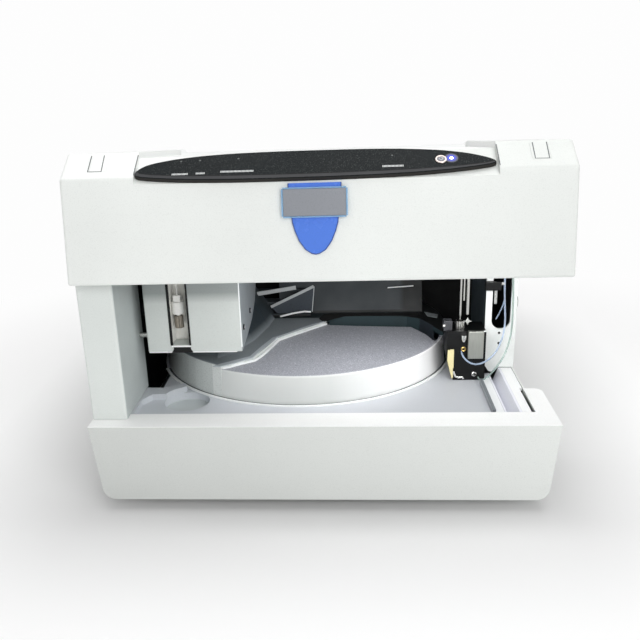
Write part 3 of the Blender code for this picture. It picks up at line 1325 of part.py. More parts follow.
def build_vial_racks(root):
    sector = math.tau / RACK_COUNT
    for index in range(RACK_COUNT):
        start = sector * index + RACK_GAP_ANGLE
        end = sector * (index + 1) - RACK_GAP_ANGLE
        centre = (CAROUSEL_X, CAROUSEL_Y)
        plan = arc(centre, RACK_OUTER_RADIUS, start, end, 20) + arc(centre, RACK_INNER_RADIUS, end, start, 8)
        name = "vial_rack_" + "abc"[index]
        body = prism("z", plan, ROTOR_BOTTOM + ROTOR_THICK + GAP, RACK_TOP, name)
        wells = []
        for row_radius, count in VIAL_ROWS:
            for place_index in range(count):
                angle = start + (end - start) * (place_index + 0.5) / count
                well = rod(VIAL_RADIUS, VIAL_FLOOR, RACK_TOP + OVERCUT, 10)
                wells.append(shift(well, *circle_point(angle, row_radius), 0.0))
        cut(body, *wells)
        finish_piece(body, name, "black_plastic", root, (CAROUSEL_X, CAROUSEL_Y, ROTOR_BOTTOM))


def build_needle_tower(root):
    front = [
        (BLOCK_LEFT_X, BLOCK_TOP), BLOCK_CHAMFER[0], BLOCK_CHAMFER[1], (BLOCK_RIGHT_X, BLOCK_BOTTOM),
        (BLOCK_RIGHT_X, BLOCK_TOP),
    ]
    body = prism("y", front, BLOCK_FRONT_Y, BLOCK_REAR_Y, "needle_block")
    half = NEEDLE_CHANNEL_WIDTH / 2
    channel = block(
        (NEEDLE_X - half, NEEDLE_CHANNEL_FRONT_Y, NEEDLE_CHANNEL_BOTTOM),
        (NEEDLE_X + half, BLOCK_REAR_Y + OVERCUT, BLOCK_TOP + OVERCUT),
    )
    cut(body, channel)
    finish_piece(body, "needle_block", "black_plastic", root)
    port = fluted(PORT_RADIUS, BLOCK_TOP + GAP, PORT_TOP, PORT_FLUTES, PORT_FLUTE_SHARE, "inject_port")
    cut(port, rod(PORT_BORE, BLOCK_TOP - OVERCUT, PORT_TOP + OVERCUT, 16))
    shift(port, NEEDLE_X, NEEDLE_Y, 0.0)
    finish_piece(port, "inject_port", "steel", root)
    valve = block(
        (VALVE_LEFT_X, VALVE_FRONT_Y, VALVE_BOTTOM), (VALVE_RIGHT_X, BLOCK_FRONT_Y - GAP, VALVE_TOP), "valve_block",
    )
    soften(valve, EDGE_ROUND / 2, 2)
    finish_piece(valve, "valve_block", "steel", root)
    strip = block(
        (STRIP_LEFT_X, BLOCK_FRONT_Y - GAP - STRIP_THICK, STRIP_BOTTOM),
        (STRIP_RIGHT_X, BLOCK_FRONT_Y - GAP, STRIP_TOP), "side_strip",
    )
    finish_piece(strip, "side_strip", "beige", root)


def build_needle_arm(root):
    root_half = ARM_ROOT_WIDTH / 2
    tip_half = ARM_TIP_WIDTH / 2
    plan = arc((ARM_AXIS_X, ARM_AXIS_Y), root_half, math.pi * 0.5, math.pi * 1.5, 12)
    plan += arc((ARM_END_X - tip_half, ARM_AXIS_Y), tip_half, -math.pi * 0.5, math.pi * 0.5, 8)
    body = prism("z", plan, ARM_PLATE_BOTTOM, ARM_PLATE_TOP, "needle_arm")
    soften(body, EDGE_ROUND, 2)
    holes = (
        (ARM_AXIS_X, SPINDLE_RADIUS + SPINDLE_BORE_CLEARANCE), (ROD_LONG[0], ROD_LONG[2] + ROD_CLEARANCE),
        (ROD_SHORT[0], ROD_SHORT[2] + ROD_CLEARANCE),
    )
    for x, radius in holes:
        tool = rod(radius, ARM_PLATE_BOTTOM - OVERCUT, ARM_PLATE_TOP + OVERCUT, 24)
        cut(body, shift(tool, x, ARM_AXIS_Y, 0.0))
    pivot = (ARM_AXIS_X, ARM_AXIS_Y, ARM_PLATE_BOTTOM)
    finish_piece(body, "needle_arm", "dark_steel", root, pivot)
    low = ARM_PLATE_BOTTOM - GAP
    spindle = turned(
        (
            (0.0, low - SPINDLE_FLANGE_THICK), (SPINDLE_COLLAR_RADIUS, low - SPINDLE_FLANGE_THICK),
            (SPINDLE_COLLAR_RADIUS, low), (SPINDLE_RADIUS, low),
            (SPINDLE_RADIUS, DECK_Z - GAP - SPINDLE_FLANGE_THICK),
            (SPINDLE_FLANGE_RADIUS, DECK_Z - GAP - SPINDLE_FLANGE_THICK), (SPINDLE_FLANGE_RADIUS, DECK_Z - GAP),
            (0.0, DECK_Z - GAP),
        ),
        32, "arm_spindle",
    )
    shift(spindle, ARM_AXIS_X, ARM_AXIS_Y, 0.0)
    finish_piece(spindle, "arm_spindle", "steel", root)
    for name, (x, bottom, radius) in (("guide_rod_long", ROD_LONG), ("guide_rod_short", ROD_SHORT)):
        bar = turned(
            (
                (0.0, bottom), (radius * ROD_TIP_SHARE, bottom), (radius, bottom + radius / 2),
                (radius, ARM_PLATE_TOP),
                (0.0, ARM_PLATE_TOP),
            ),
            18, name,
        )
        shift(bar, x, ARM_AXIS_Y, 0.0)
        finish_piece(bar, name, "steel", root, pivot)


def build_needle_carriage(root):
    half = CARRIAGE_DEPTH / 2
    body = block(
        (CARRIAGE_LEFT_X, ARM_AXIS_Y - half, CARRIAGE_BOTTOM), (CARRIAGE_RIGHT_X, ARM_AXIS_Y + half, CARRIAGE_TOP),
        "needle_carriage",
    )
    soften(body, EDGE_ROUND, 2)
    for x, radius in (
        (ROD_LONG[0], ROD_LONG[2] + ROD_CLEARANCE), (ROD_SHORT[0], ROD_SHORT[2] + ROD_CLEARANCE),
        (NEEDLE_X, NEEDLE_RADIUS + ROD_CLEARANCE),
    ):
        tool = rod(radius, CARRIAGE_BOTTOM - OVERCUT, CARRIAGE_TOP + OVERCUT, 20)
        cut(body, shift(tool, x, ARM_AXIS_Y, 0.0))
    finish_piece(body, "needle_carriage", "black_plastic", root, (NEEDLE_X, NEEDLE_Y, CARRIAGE_BOTTOM))
    needle = turned(
        (
            (0.0, NEEDLE_TIP), (NEEDLE_RADIUS * NEEDLE_TIP_SHARE, NEEDLE_TIP),
            (NEEDLE_RADIUS, NEEDLE_TIP + NEEDLE_POINT), (NEEDLE_RADIUS, CARRIAGE_TOP), (0.0, CARRIAGE_TOP),
        ),
        16, "needle",
    )
    shift(needle, NEEDLE_X, NEEDLE_Y, 0.0)
    finish_piece(needle, "needle", "steel", root, (NEEDLE_X, NEEDLE_Y, CARRIAGE_BOTTOM))


def build_tube(root, name, points, finish):
    line = bpy.data.curves.new(name, "CURVE")
    line.dimensions = "3D"
    line.bevel_depth = TUBE_RADIUS
    line.bevel_resolution = 2
    line.use_fill_caps = True
    run = line.splines.new("POLY")
    run.points.add(len(points) - 1)
    for knot, spot in zip(run.points, points):
        knot.co = (*spot, 1.0)
    item = bpy.data.objects.new(name, line)
    bpy.context.scene.collection.objects.link(item)
    item.parent = root
    line.materials.append(make_finish(finish))


def build_tubing(root):
    build_tube(root, "tubing_blue", BLUE_POINTS, "tube_blue")
    build_tube(root, "tubing_green", GREEN_POINTS, "tube_green")
    rear = COLUMN_FRONT_Y - GAP
    union = block(
        (UNION_LEFT_X, UNION_FRONT_Y, UNION_BOTTOM), (UNION_RIGHT_X, rear, UNION_TOP), "tubing_union",
    )
    soften(union, EDGE_ROUND / 2, 2)
    finish_piece(union, "tubing_union", "white_plastic", root)
    clip = block((CLIP_LEFT_X, CLIP_FRONT_Y, CLIP_BOTTOM), (CLIP_RIGHT_X, rear, CLIP_TOP), "tubing_clip")
    soften(clip, EDGE_ROUND, 2)
    finish_piece(clip, "tubing_clip", "black_plastic", root)


def build_fan(root):
    half = FAN_SIZE / 2
    rear = DEPTH - REAR_THICK - GAP
    front = rear - FAN_DEPTH
    frame = block((FAN_X - half, front, FAN_Z - half), (FAN_X + half, rear, FAN_Z + half), "fan_frame")
    soften(frame, EDGE_ROUND, 2)
    throat = prism("y", arc((FAN_X, FAN_Z), FAN_BORE, 0.0, math.tau, 40)[:-1], front - OVERCUT, rear + OVERCUT)
    cut(frame, throat)
    strut_rear = rear - FAN_STRUT / 2
    pad = prism("y", arc((FAN_X, FAN_Z), FAN_HUB, 0.0, math.tau, 28)[:-1], strut_rear - FAN_STRUT, strut_rear)
    bar = block(
        (FAN_X - FAN_BORE - WALL, strut_rear - FAN_STRUT, FAN_Z - FAN_STRUT / 2),
        (FAN_X + FAN_BORE + WALL, strut_rear, FAN_Z + FAN_STRUT / 2),
    )
    pin = prism(
        "y", arc((FAN_X, FAN_Z), FAN_PIN_RADIUS, 0.0, math.tau, 16)[:-1],
        front + FAN_STRUT, strut_rear - FAN_STRUT / 2,
    )
    join(frame, bar, pad, pin)
    finish_piece(frame, "fan_frame", "black_plastic", root)
    rotor_front = front + FAN_STRUT / 2
    rotor_rear = strut_rear - FAN_STRUT - GAP * 2
    rotor = prism("y", arc((0.0, 0.0), FAN_HUB, 0.0, math.tau, 28)[:-1], rotor_front, rotor_rear, "fan_rotor")
    for index in range(FAN_BLADES):
        blade = block(
            (FAN_HUB - WALL, -FAN_BLADE_THICK / 2, -FAN_STRUT * 2), (FAN_BLADE_TIP, FAN_BLADE_THICK / 2, FAN_STRUT * 2),
        )
        middle = (rotor_front + rotor_rear) / 2
        tilt = Matrix.Rotation(math.radians(52), 4, "X")
        spin = Matrix.Rotation(math.tau * index / FAN_BLADES, 4, "Y")
        place(blade, Matrix.Translation((0.0, middle, 0.0)) @ spin @ tilt)
        join(rotor, blade)
    bore = prism(
        "y", arc((0.0, 0.0), FAN_PIN_RADIUS + BORE_CLEARANCE, 0.0, math.tau, 16)[:-1],
        rotor_front - OVERCUT, rotor_rear + OVERCUT,
    )
    cut(rotor, bore)
    shift(rotor, FAN_X, 0.0, FAN_Z)
    finish_piece(rotor, "fan_rotor", "black_plastic", root, (FAN_X, (rotor_front + rotor_rear) / 2, FAN_Z))


def build_power_entry(root):
    wide = INLET_SIZE[0] / 2
    tall = INLET_SIZE[1] / 2
    rear = DEPTH
    body = block(
        (INLET_X - wide, rear - INLET_DEPTH, INLET_Z - tall), (INLET_X + wide, rear, INLET_Z + tall), "power_inlet",
    )
    lip = REAR_THICK + GAP
    flange = block(
        (INLET_X - INLET_FLANGE[0] / 2, rear - lip - INLET_FLANGE[2], INLET_Z - INLET_FLANGE[1] / 2),
        (INLET_X + INLET_FLANGE[0] / 2, rear - lip, INLET_Z + INLET_FLANGE[1] / 2),
    )
    join(body, flange)
    socket = block(
        (INLET_X - wide + INLET_WALL, rear - INLET_DEPTH + INLET_WALL, INLET_Z - tall + INLET_WALL),
        (INLET_X + wide - INLET_WALL, rear + OVERCUT, INLET_Z + tall - INLET_WALL),
    )
    cut(body, socket)
    for dx, dz in PIN_PLACES:
        pin = block(
            (INLET_X + dx - PIN_SIZE[0] / 2, rear - INLET_DEPTH + INLET_WALL / 2, INLET_Z + dz - PIN_SIZE[2] / 2),
            (INLET_X + dx + PIN_SIZE[0] / 2, rear - INLET_DEPTH + PIN_SIZE[1], INLET_Z + dz + PIN_SIZE[2] / 2),
        )
        join(body, pin)
    finish_piece(body, "power_inlet", "black_plastic", root)
    half = SWITCH_SIZE[0] / 2
    depth = SWITCH_DEPTH / 2
    reach = math.tan(SWITCH_TILT) * half
    edge = depth - reach * 2
    section = [(-half, -edge), (half, -edge), (half, edge), (0.0, edge - reach), (-half, edge)]
    rocker = prism("z", section, -SWITCH_SIZE[1] / 2, SWITCH_SIZE[1] / 2, "power_switch")
    place(rocker, Matrix.Rotation(-SWITCH_TILT, 4, "Z"))
    axis_y = rear - depth
    shift(rocker, SWITCH_X, axis_y, SWITCH_Z)
    finish_piece(rocker, "power_switch", "black_plastic", root, (SWITCH_X, axis_y, SWITCH_Z))


def board_place(share_x, share_y):
    low, high = BOARD_PLAN
    return low[0] + (high[0] - low[0]) * share_x, low[1] + (high[1] - low[1]) * share_y


def build_inner_electrics(root):
    seat = SHEET + GAP
    supply = block((*SUPPLY_PLAN[0], seat), (*SUPPLY_PLAN[1], SUPPLY_TOP), "power_supply")
    soften(supply, EDGE_ROUND, 2)
    finish_piece(supply, "power_supply", "steel", root)
    low, high = BOARD_PLAN
    board = block((*low, BOARD_Z), (*high, BOARD_Z + BOARD_THICK), "control_board")
    size = (high[1] - low[1]) / 8
    for shares in CHIP_SHARES:
        x, y = board_place(*shares)
        chip = block(
            (x - size, y - size, BOARD_Z + BOARD_THICK / 2),
            (x + size, y + size, BOARD_Z + BOARD_THICK + BOARD_CHIP_HEIGHT),
        )
        join(board, chip)
    finish_piece(board, "control_board", "board_green", root)


def build_feet(root):
    sides = (FOOT_INSET_X, BODY_WIDTH - FOOT_INSET_X)
    places = [(x, y) for y in (FOOT_FRONT_Y, FOOT_REAR_Y) for x in sides]
    for index, (x, y) in enumerate(places):
        name = "foot_" + "abcd"[index]
        foot = turned(
            (
                (0.0, -FOOT_HEIGHT), (FOOT_RADIUS - FOOT_RIM, -FOOT_HEIGHT), (FOOT_RADIUS, -FOOT_HEIGHT + FOOT_RIM),
                (FOOT_RADIUS, -GAP), (0.0, -GAP),
            ),
            24, name,
        )
        shift(foot, x, y, 0.0)
        finish_piece(foot, name, "rubber", root)


def main():
    clear_scene()
    root = make_root()
    build_base_fascia(root)
    build_floor_tray(root)
    build_left_post(root)
    build_side_panels(root)
    build_base_pan(root)
    build_right_column(root)
    build_hood(root)
    build_top_cover(root)
    build_rear_panel(root)
    build_status_bar(root)
    build_button_and_lamp(root)
    build_badge(root)
    build_front_door(root)
    build_door_pivots(root)
    build_inner_deck(root)
    build_syringe_cover(root)
    build_syringe_parts(root)
    build_spacer_stud(root)
    build_carousel_cover(root)
    build_carousel_shroud(root)
    build_cooling_well(root)
    build_carousel_rotor(root)
    build_vial_racks(root)
    build_needle_tower(root)
    build_needle_arm(root)
    build_needle_carriage(root)
    build_tubing(root)
    build_fan(root)
    build_power_entry(root)
    build_inner_electrics(root)
    build_feet(root)


main()
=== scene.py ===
# Benchtop autosampler: surfaces, trim and small fittings, dressed over the rigid frame.
# Build coordinates: X from the left side, Y back from the front edge, Z up from the underside of the base.

import math

import bmesh
import bpy
from mathutils import Matrix, Vector


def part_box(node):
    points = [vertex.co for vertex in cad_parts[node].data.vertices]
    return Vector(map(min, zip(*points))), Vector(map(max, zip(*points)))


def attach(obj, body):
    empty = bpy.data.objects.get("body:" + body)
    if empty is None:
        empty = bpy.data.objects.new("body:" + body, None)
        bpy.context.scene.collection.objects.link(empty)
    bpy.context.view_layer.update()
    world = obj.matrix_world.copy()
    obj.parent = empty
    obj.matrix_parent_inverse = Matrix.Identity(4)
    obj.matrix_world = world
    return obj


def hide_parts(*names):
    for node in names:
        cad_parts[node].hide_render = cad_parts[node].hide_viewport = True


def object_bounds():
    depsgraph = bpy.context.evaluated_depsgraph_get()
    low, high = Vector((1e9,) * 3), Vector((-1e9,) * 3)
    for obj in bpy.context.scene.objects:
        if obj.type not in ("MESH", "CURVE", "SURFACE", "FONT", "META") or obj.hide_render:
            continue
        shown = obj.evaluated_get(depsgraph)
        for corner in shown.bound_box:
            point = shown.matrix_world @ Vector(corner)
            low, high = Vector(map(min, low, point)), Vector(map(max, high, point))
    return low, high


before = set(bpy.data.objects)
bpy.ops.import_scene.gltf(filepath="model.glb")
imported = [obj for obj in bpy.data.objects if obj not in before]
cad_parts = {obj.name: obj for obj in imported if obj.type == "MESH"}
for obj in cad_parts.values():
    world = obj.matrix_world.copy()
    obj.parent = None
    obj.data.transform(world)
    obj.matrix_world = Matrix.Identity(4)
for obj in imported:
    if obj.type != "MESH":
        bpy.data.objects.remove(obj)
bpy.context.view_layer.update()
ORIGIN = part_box("base_fascia")[0]
PLAN = Matrix.Translation(ORIGIN)

# Camera
CAMERA_PLACE = (0.242504, -0.613915, 0.378938)
CAMERA_YAW = math.radians(-4.357)
CAMERA_PITCH = math.radians(19.122)
CAMERA_ROLL = math.radians(-2.166)
CAMERA_LENS = 42.77
CAMERA_SHIFT = (0.035, 0.0225)
CAMERA_REACH = (0.01, 50.0)

# Stage and lights
STAGE_HALF = 4.0
STAGE_BACK = 2.4
STAGE_BEND = 0.8
STAGE_HEIGHT = 2.6
STAGE_BEND_STEPS = 12
STAGE_COLOUR = "FFFFFF"
STAGE_TONES = (0.995, 1.005)
STAGE_NOISE = (1.5, 2.0)
STAGE_ROUGHNESS = 0.9
STAGE_GLOSS = 0.1
STAGE_FADE = (0.2, 0.78)
SHADE_REACH = (0.18, 0.01)
SHADE_DEPTH = 0.7
WHITE = (1.0, 1.0, 1.0)
SKY_STRENGTH = 0.4
GROUND_WHITE = (0.985, 0.985, 0.985)
STAGE_LIGHTS = (
    ("top_light", (0.1, -0.05, 1.6), (0.0, 0.02, 0.1), (1.3, 1.3), 12.5),
    ("front_light", (0.62, -1.35, 0.72), (0.03, 0.0, 0.12), (0.8, 0.8), 8.2),
    ("fill_light", (-1.1, -1.3, 0.7), (0.0, 0.0, 0.15), (1.0, 1.0), 2.4),
)
BAY_LIGHTS = (
    ("bay_light", (0.262, 0.046, 0.2085), (0.25, 0.15, 0.1), (0.18, 0.045), 0.16),
    ("right_bay_light", (0.372, 0.026, 0.2085), (0.335, 0.15, 0.085), (0.05, 0.035), 0.06),
)

# Fineness of the pieces, and sizes that the trim follows
SHEET = 0.002
GAP = 0.0003
SMOOTH_ANGLE = math.radians(35)
BEVEL_STEPS = 2
TURN_STEPS = 24
TUBE_ROUNDNESS = 4
TUBE_ORDER = 4
TUBE_STEPS = 6
HOOD_BOTTOM = 0.2113
HOOD_FRONT_TOP = (0.0124, 0.3)
HOOD_CREST = (0.04, 0.318)
LENS_POINTS = (
    (0.0637, 0.0046), (0.065, 0.0026), (0.069, 0.0011), (0.0776, -0.0003), (0.0913, -0.0018),
    (0.1139, -0.0036), (0.1435, -0.0045), (0.1728, -0.0047), (0.2262, -0.0044), (0.2677, -0.0034),
    (0.2953, -0.002), (0.3228, 0.0004), (0.3436, 0.0034), (0.3548, 0.0056), (0.3594, 0.0074),
    (0.36, 0.0091), (0.3569, 0.0121), (0.3491, 0.0159), (0.3384, 0.0197), (0.3248, 0.0229), (0.311, 0.0252),
    (0.2829, 0.0278), (0.2545, 0.0288), (0.2259, 0.029), (0.1858, 0.0289), (0.1481, 0.0279),
    (0.1255, 0.0263), (0.1105, 0.0247), (0.0955, 0.0222), (0.0808, 0.0186), (0.0721, 0.0152),
    (0.0667, 0.011), (0.0642, 0.0076),
)
LENS_STEPS = 2
LENS_LINE = (
    (0.0645, 0.008), (0.068, 0.005), (0.0776, 0.0031), (0.0913, 0.0017), (0.1139, 0.0003),
    (0.1435, -0.0005), (0.1728, -0.0007), (0.2262, -0.0005), (0.2677, 0.0004), (0.2953, 0.0015),
    (0.3228, 0.0033), (0.3436, 0.0055), (0.354, 0.0074), (0.3592, 0.009),
)
LENS_LINE_HALF = 0.0003
LENS_FRONT_COUNT = 15
LENS_THICK = 0.004
TONGUE_POINTS = (
    (0.1918, 0.0818), (0.1918, 0.07), (0.194, 0.056), (0.1946, 0.05), (0.1965, 0.043), (0.2, 0.0345),
    (0.205, 0.0275), (0.21, 0.0243), (0.2133, 0.0236), (0.2166, 0.0243), (0.2216, 0.0275), (0.2266, 0.0345),
    (0.2301, 0.043), (0.232, 0.05), (0.2326, 0.056), (0.2349, 0.07), (0.2349, 0.0818),
)
SLOT_REAR_POINTS = ((0.2156, 0.2358), (0.2518, 0.2363), (0.3061, 0.2336), (0.3203, 0.2253), (0.333, 0.196))
CAROUSEL = (0.1895, 0.22)
COVER_TOP = 0.101

# Colours as they look in plain light
SHELL = "E6E9E6"
COVER_WALL = "E6E9E7"
COVER_TOP_COLOUR = "A9ABB3"
SHROUD = "565C61"
SLATE = "3A4149"
BLACK = "0A0B0C"
SPECKLE = "202428"
# Near black on the side panels' inner faces: painted shade
PANEL_INSIDE = "141617"
LENS = "14181A"
LENS_LIP = "2C2B29"
LAMP = "8FA0FF"
LAMP_CORE = "FFFFFF"
HALO = "2440FF"

# Sockets of the colour mix: factor and two colours, then the result
MIX_SOCKETS = (0, 6, 7)
MIX_RESULT = 2

# Grain of the surfaces: scale and detail of the noise, its spans, changes about a middle value
CLOUD_SPAN = (0.3, 0.7)
DOT_SPAN = (0.52, 0.72)
PANEL_SPAN = (0.4, 0.7)
BROAD_NOISE = (9.0, 4.0)
FLECK_NOISE = (7.0, 4.0)
WEAR_NOISE = (60.0, 3.0)
WEAR_SPREAD = (-0.05, 0.06)
FLECK_DETAIL = 1.0
FINE_DETAIL = 2.0
FINE_BUMP = 0.35
FINE_RELIEF = 0.0001
BLEND_TONES = (0.97, 1.03)
PANEL_GRAIN = 2200.0
PANEL_TONES = (1.01, 0.96)
PANEL_ROUGHNESS = (0.45, 0.58)
PANEL_TURN = (0.0003, 0.0001)

# Flecks: noise scale, span that shows, colour; grain: noise scale, strength, relief
WELL_FLECKS = ((900.0, (0.58, 0.66), "8A8F94"), (1170.0, (0.42, 0.34), "33383C"))
WELL_TONES = (0.96, 1.04)
WELL_WEAR = (80.0, 2.0, 0.54, 0.66)
WELL_GRAIN = (900.0, 0.5, 0.0002)
COVER_FLECKS = ((820.0, (0.6, 0.68), "D2D3D9"), (1100.0, (0.4, 0.32), "7C7E88"))
# Painted shade on the cover wall: ramp start and end about the carousel centre, and how dark it gets
COVER_PAINTED_SHADE = (-0.1, 0.0, 0.86)
# Painted light on the cover wall: span over which its right end turns white
COVER_PAINTED_LIGHT_SPAN = (0.03, 0.13)
COVER_RIM_SPAN = (-0.0005, -0.00005)
COVER_ROUGHNESS = (0.42, 0.55)
COVER_GRAIN = (900.0, 0.35, 0.0002)
LENS_FLECKS = ((1500.0, (0.6, 0.72), "4A504E"),)
LENS_NOISE = (14.0, 3.0)
LENS_TONES = (0.85, 1.15)
LENS_ROUGHNESS = (0.5, 0.6)
LENS_GLOSS = 0.08
LENS_GRAIN = (1300.0, 0.3, 0.0001)

# Metal, clear plastic and lamps
METAL_TONES = (0.88, 1.06)
METAL_WEAR = (-0.07, 0.09)
METAL_DETAIL = 3.0
METAL_BUMP = 0.2
CLEAR_NOISE = (90.0, 2.0)
CLEAR_TONES = (0.92, 1.05)
CLEAR_SHARE = 0.55
CLEAR_IOR = 1.42
LAMP_NOISE = (600.0, 1.0)
LAMP_GLOW = 14.0
LAMP_ROUGHNESS = 0.2
HALO_FADE = 1.6
HALO_GLOW = 2.2
HALO_ROUGHNESS = 0.35


def linear(code):
    """A colour written as six hex digits, as the shader takes it."""
    parts = [int(code[index:index + 2], 16) / 255 for index in (0, 2, 4)]
    return [part / 12.92 if part <= 0.04045 else ((part + 0.055) / 1.055) ** 2.4 for part in parts]


def feed(tree, socket, value):
    """Link another node's result to a socket, or set it to a number, a vector or a colour."""
    if isinstance(value, bpy.types.NodeSocket):
        tree.links.new(value, socket)
    elif socket.type == "RGBA":
        socket.default_value = (*value, 1.0)
    else:
        socket.default_value = value


class Paint:
    """Collects the nodes of one material."""

    def __init__(self, name):
        self.material = bpy.data.materials.new(name)
        self.material.use_nodes = True
        self.tree = self.material.node_tree
        self.shader = self.tree.nodes["Principled BSDF"]
        self.place = self.node("ShaderNodeTexCoord", {}).outputs["Object"]

    def set(self, socket, value):
        feed(self.tree, self.shader.inputs[socket], value)

    def node(self, kind, values, **settings):
        node = self.tree.nodes.new(kind)
        for name, setting in settings.items():
            setattr(node, name, setting)
        for socket, value in values.items():
            feed(self.tree, node.inputs[socket], value)
        return node

    def noise(self, scale, detail, stretch=(1.0, 1.0, 1.0)):
        mapping = self.node("ShaderNodeMapping", {"Vector": self.place, "Scale": stretch})
        values = {"Vector": mapping.outputs["Vector"], "Scale": scale, "Detail": detail}
        return self.node("ShaderNodeTexNoise", values).outputs["Fac"]

    def ranged(self, value, low, high, to_low=0.0, to_high=1.0):
        values = {"Value": value, "From Min": low, "From Max": high, "To Min": to_low, "To Max": to_high}
        return self.node("ShaderNodeMapRange", values).outputs["Result"]

    def mix(self, factor, first, second):
        values = dict(zip(MIX_SOCKETS, (factor, first, second)))
        return self.node("ShaderNodeMix", values, data_type="RGBA").outputs[MIX_RESULT]

    def along(self, axis):
        return self.node("ShaderNodeSeparateXYZ", {"Vector": self.place}).outputs[axis]

    def calculated(self, operation, first, second):
        return self.node("ShaderNodeMath", {0: first, 1: second}, operation=operation).outputs["Value"]

    def distance(self, point):
        values = {0: self.place, 1: point}
        return self.node("ShaderNodeVectorMath", values, operation="DISTANCE").outputs["Value"]

    def bump(self, value, strength, distance):
        values = {"Height": value, "Strength": strength, "Distance": distance}
        self.set("Normal", self.node("ShaderNodeBump", values).outputs["Normal"])

    def grained(self, scale, strength, distance):
        self.bump(self.noise(scale, FINE_DETAIL), strength, distance)

    def cloud(self, scale, detail, to_low=0.0, to_high=1.0):
        """Soft noise spread over a range."""
        return self.ranged(self.noise(scale, detail), *CLOUD_SPAN, to_low, to_high)

    def clouded(self, code, tones, noise):
        """A colour that drifts between two of its tones."""
        return self.mix(self.cloud(*noise), *[shade(linear(code), tone) for tone in tones])

    def roughen(self, middle):
        """Roughness that wanders a little about its middle."""
        low, high = [middle + change for change in WEAR_SPREAD]
        self.set("Roughness", self.cloud(*WEAR_NOISE, low, high))


def shade(colour, factor):
    return [min(1.0, part * factor) for part in colour]


def flecked(paint, base, flecks):
    """Lay fine flecks over a base tone."""
    for scale, span, code in flecks:
        base = paint.mix(paint.ranged(paint.noise(scale, FLECK_DETAIL), *span), base, linear(code))
    return base


def moulded(name, code, roughness, mottle, grain, speckle, gloss=0.5, metallic=0.0):
    """Moulded or painted surface: broad tone changes, fine speckle and a grained relief."""
    paint = Paint(name)
    fine = paint.noise(grain, FINE_DETAIL)
    base = paint.clouded(code, (1 - mottle, 1 + mottle), BROAD_NOISE)
    dots = paint.ranged(fine, *DOT_SPAN)
    paint.set("Base Color", paint.mix(dots, base, shade(linear(code), 1 - speckle)))
    paint.roughen(roughness)
    paint.set("Metallic", metallic)
    paint.set("Specular IOR Level", gloss)
    paint.bump(fine, FINE_BUMP, FINE_RELIEF)
    return paint.material


def zone(paint, limits):
    """One inside a span along each of the named axes, zero outside."""
    factor = None
    for axis, start, end in limits:
        shift = ORIGIN["XYZ".index(axis)]
        side = paint.ranged(paint.along(axis), start + shift, end + shift)
        factor = side if factor is None else paint.calculated("MULTIPLY", factor, side)
    return factor


def blended(name, tones, roughness=0.48, grain=1100.0, speckle=0.07):
    """Moulded surface in several tones: each later tone covers the earlier ones in its zone."""
    paint = Paint(name)
    base = paint.clouded(tones[0][0], BLEND_TONES, BROAD_NOISE)
    for code, limits in tones[1:]:
        base = paint.mix(zone(paint, limits), base, linear(code))
    fine = paint.noise(grain, FINE_DETAIL)
    dots = paint.ranged(fine, *DOT_SPAN, 0.0, speckle)
    paint.set("Base Color", paint.mix(dots, base, linear(SPECKLE)))
    paint.roughen(roughness)
    paint.bump(fine, FINE_BUMP, FINE_RELIEF)
    return paint.material


def well_paint():
    """Coarse grained surface with light and dark flecks."""
    paint = Paint("well_plastic")
    base = paint.clouded(SHROUD, WELL_TONES, FLECK_NOISE)
    paint.set("Base Color", flecked(paint, base, WELL_FLECKS))
    paint.set("Roughness", paint.cloud(*WELL_WEAR))
    paint.grained(*WELL_GRAIN)
    return paint.material


def metal(name, code, roughness, stretch=(1.0, 1.0, 1.0), grain=500.0):
    """Bare or plated metal with a drawn or turned grain."""
    paint = Paint(name)
    colour = linear(code)
    lines = paint.noise(grain, METAL_DETAIL, stretch)
    tone = paint.ranged(lines, *CLOUD_SPAN)
    paint.set("Base Color", paint.mix(tone, *[shade(colour, factor) for factor in METAL_TONES]))
    wear = [roughness + change for change in METAL_WEAR]
    paint.set("Roughness", paint.ranged(lines, *CLOUD_SPAN, *wear))
    paint.set("Metallic", 1.0)
    paint.bump(lines, METAL_BUMP, FINE_RELIEF)
    return paint.material


def clear_plastic(name, code, roughness=0.12):
    """Tinted see-through tube or barrel."""
    paint = Paint(name)
    paint.set("Base Color", paint.clouded(code, CLEAR_TONES, CLEAR_NOISE))
    paint.set("Roughness", roughness)
    paint.set("Transmission Weight", CLEAR_SHARE)
    paint.set("IOR", CLEAR_IOR)
    return paint.material


def cover_paint():
    """Pale drafted wall below and grey grained top above, changing at the rounded rim; the wall has painted
    shade toward the middle and painted light, white, at its right end.
    """
    paint = Paint("cover_shell")
    wall = linear(COVER_WALL)
    middle = CAROUSEL[0] + ORIGIN.x
    # Painted shade: the wall darker from the left toward the middle
    start, end, factor = COVER_PAINTED_SHADE
    left = paint.ranged(paint.along("X"), middle + start, middle + end)
    shaded_cover_wall = paint.mix(left, wall, shade(wall, factor))
    # Painted light: the right end of the wall turns white
    right = paint.ranged(paint.along("X"), *[middle + reach for reach in COVER_PAINTED_LIGHT_SPAN])
    flat = paint.mix(right, shaded_cover_wall, WHITE)
    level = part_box("carousel_cover")[1].z
    above = paint.ranged(paint.along("Z"), *[level + reach for reach in COVER_RIM_SPAN])
    grained = flecked(paint, linear(COVER_TOP_COLOUR), COVER_FLECKS)
    paint.set("Base Color", paint.mix(above, flat, grained))
    paint.set("Roughness", paint.cloud(*FLECK_NOISE, *COVER_ROUGHNESS))
    paint.grained(*COVER_GRAIN)
    return paint.material


def lens_paint():
    """Matt black lens with fine pale grit."""
    paint = Paint("lens_black")
    base = paint.clouded(LENS, LENS_TONES, LENS_NOISE)
    paint.set("Base Color", flecked(paint, base, LENS_FLECKS))
    paint.set("Roughness", paint.cloud(*LENS_NOISE, *LENS_ROUGHNESS))
    paint.set("Specular IOR Level", LENS_GLOSS)
    paint.grained(*LENS_GRAIN)
    return paint.material


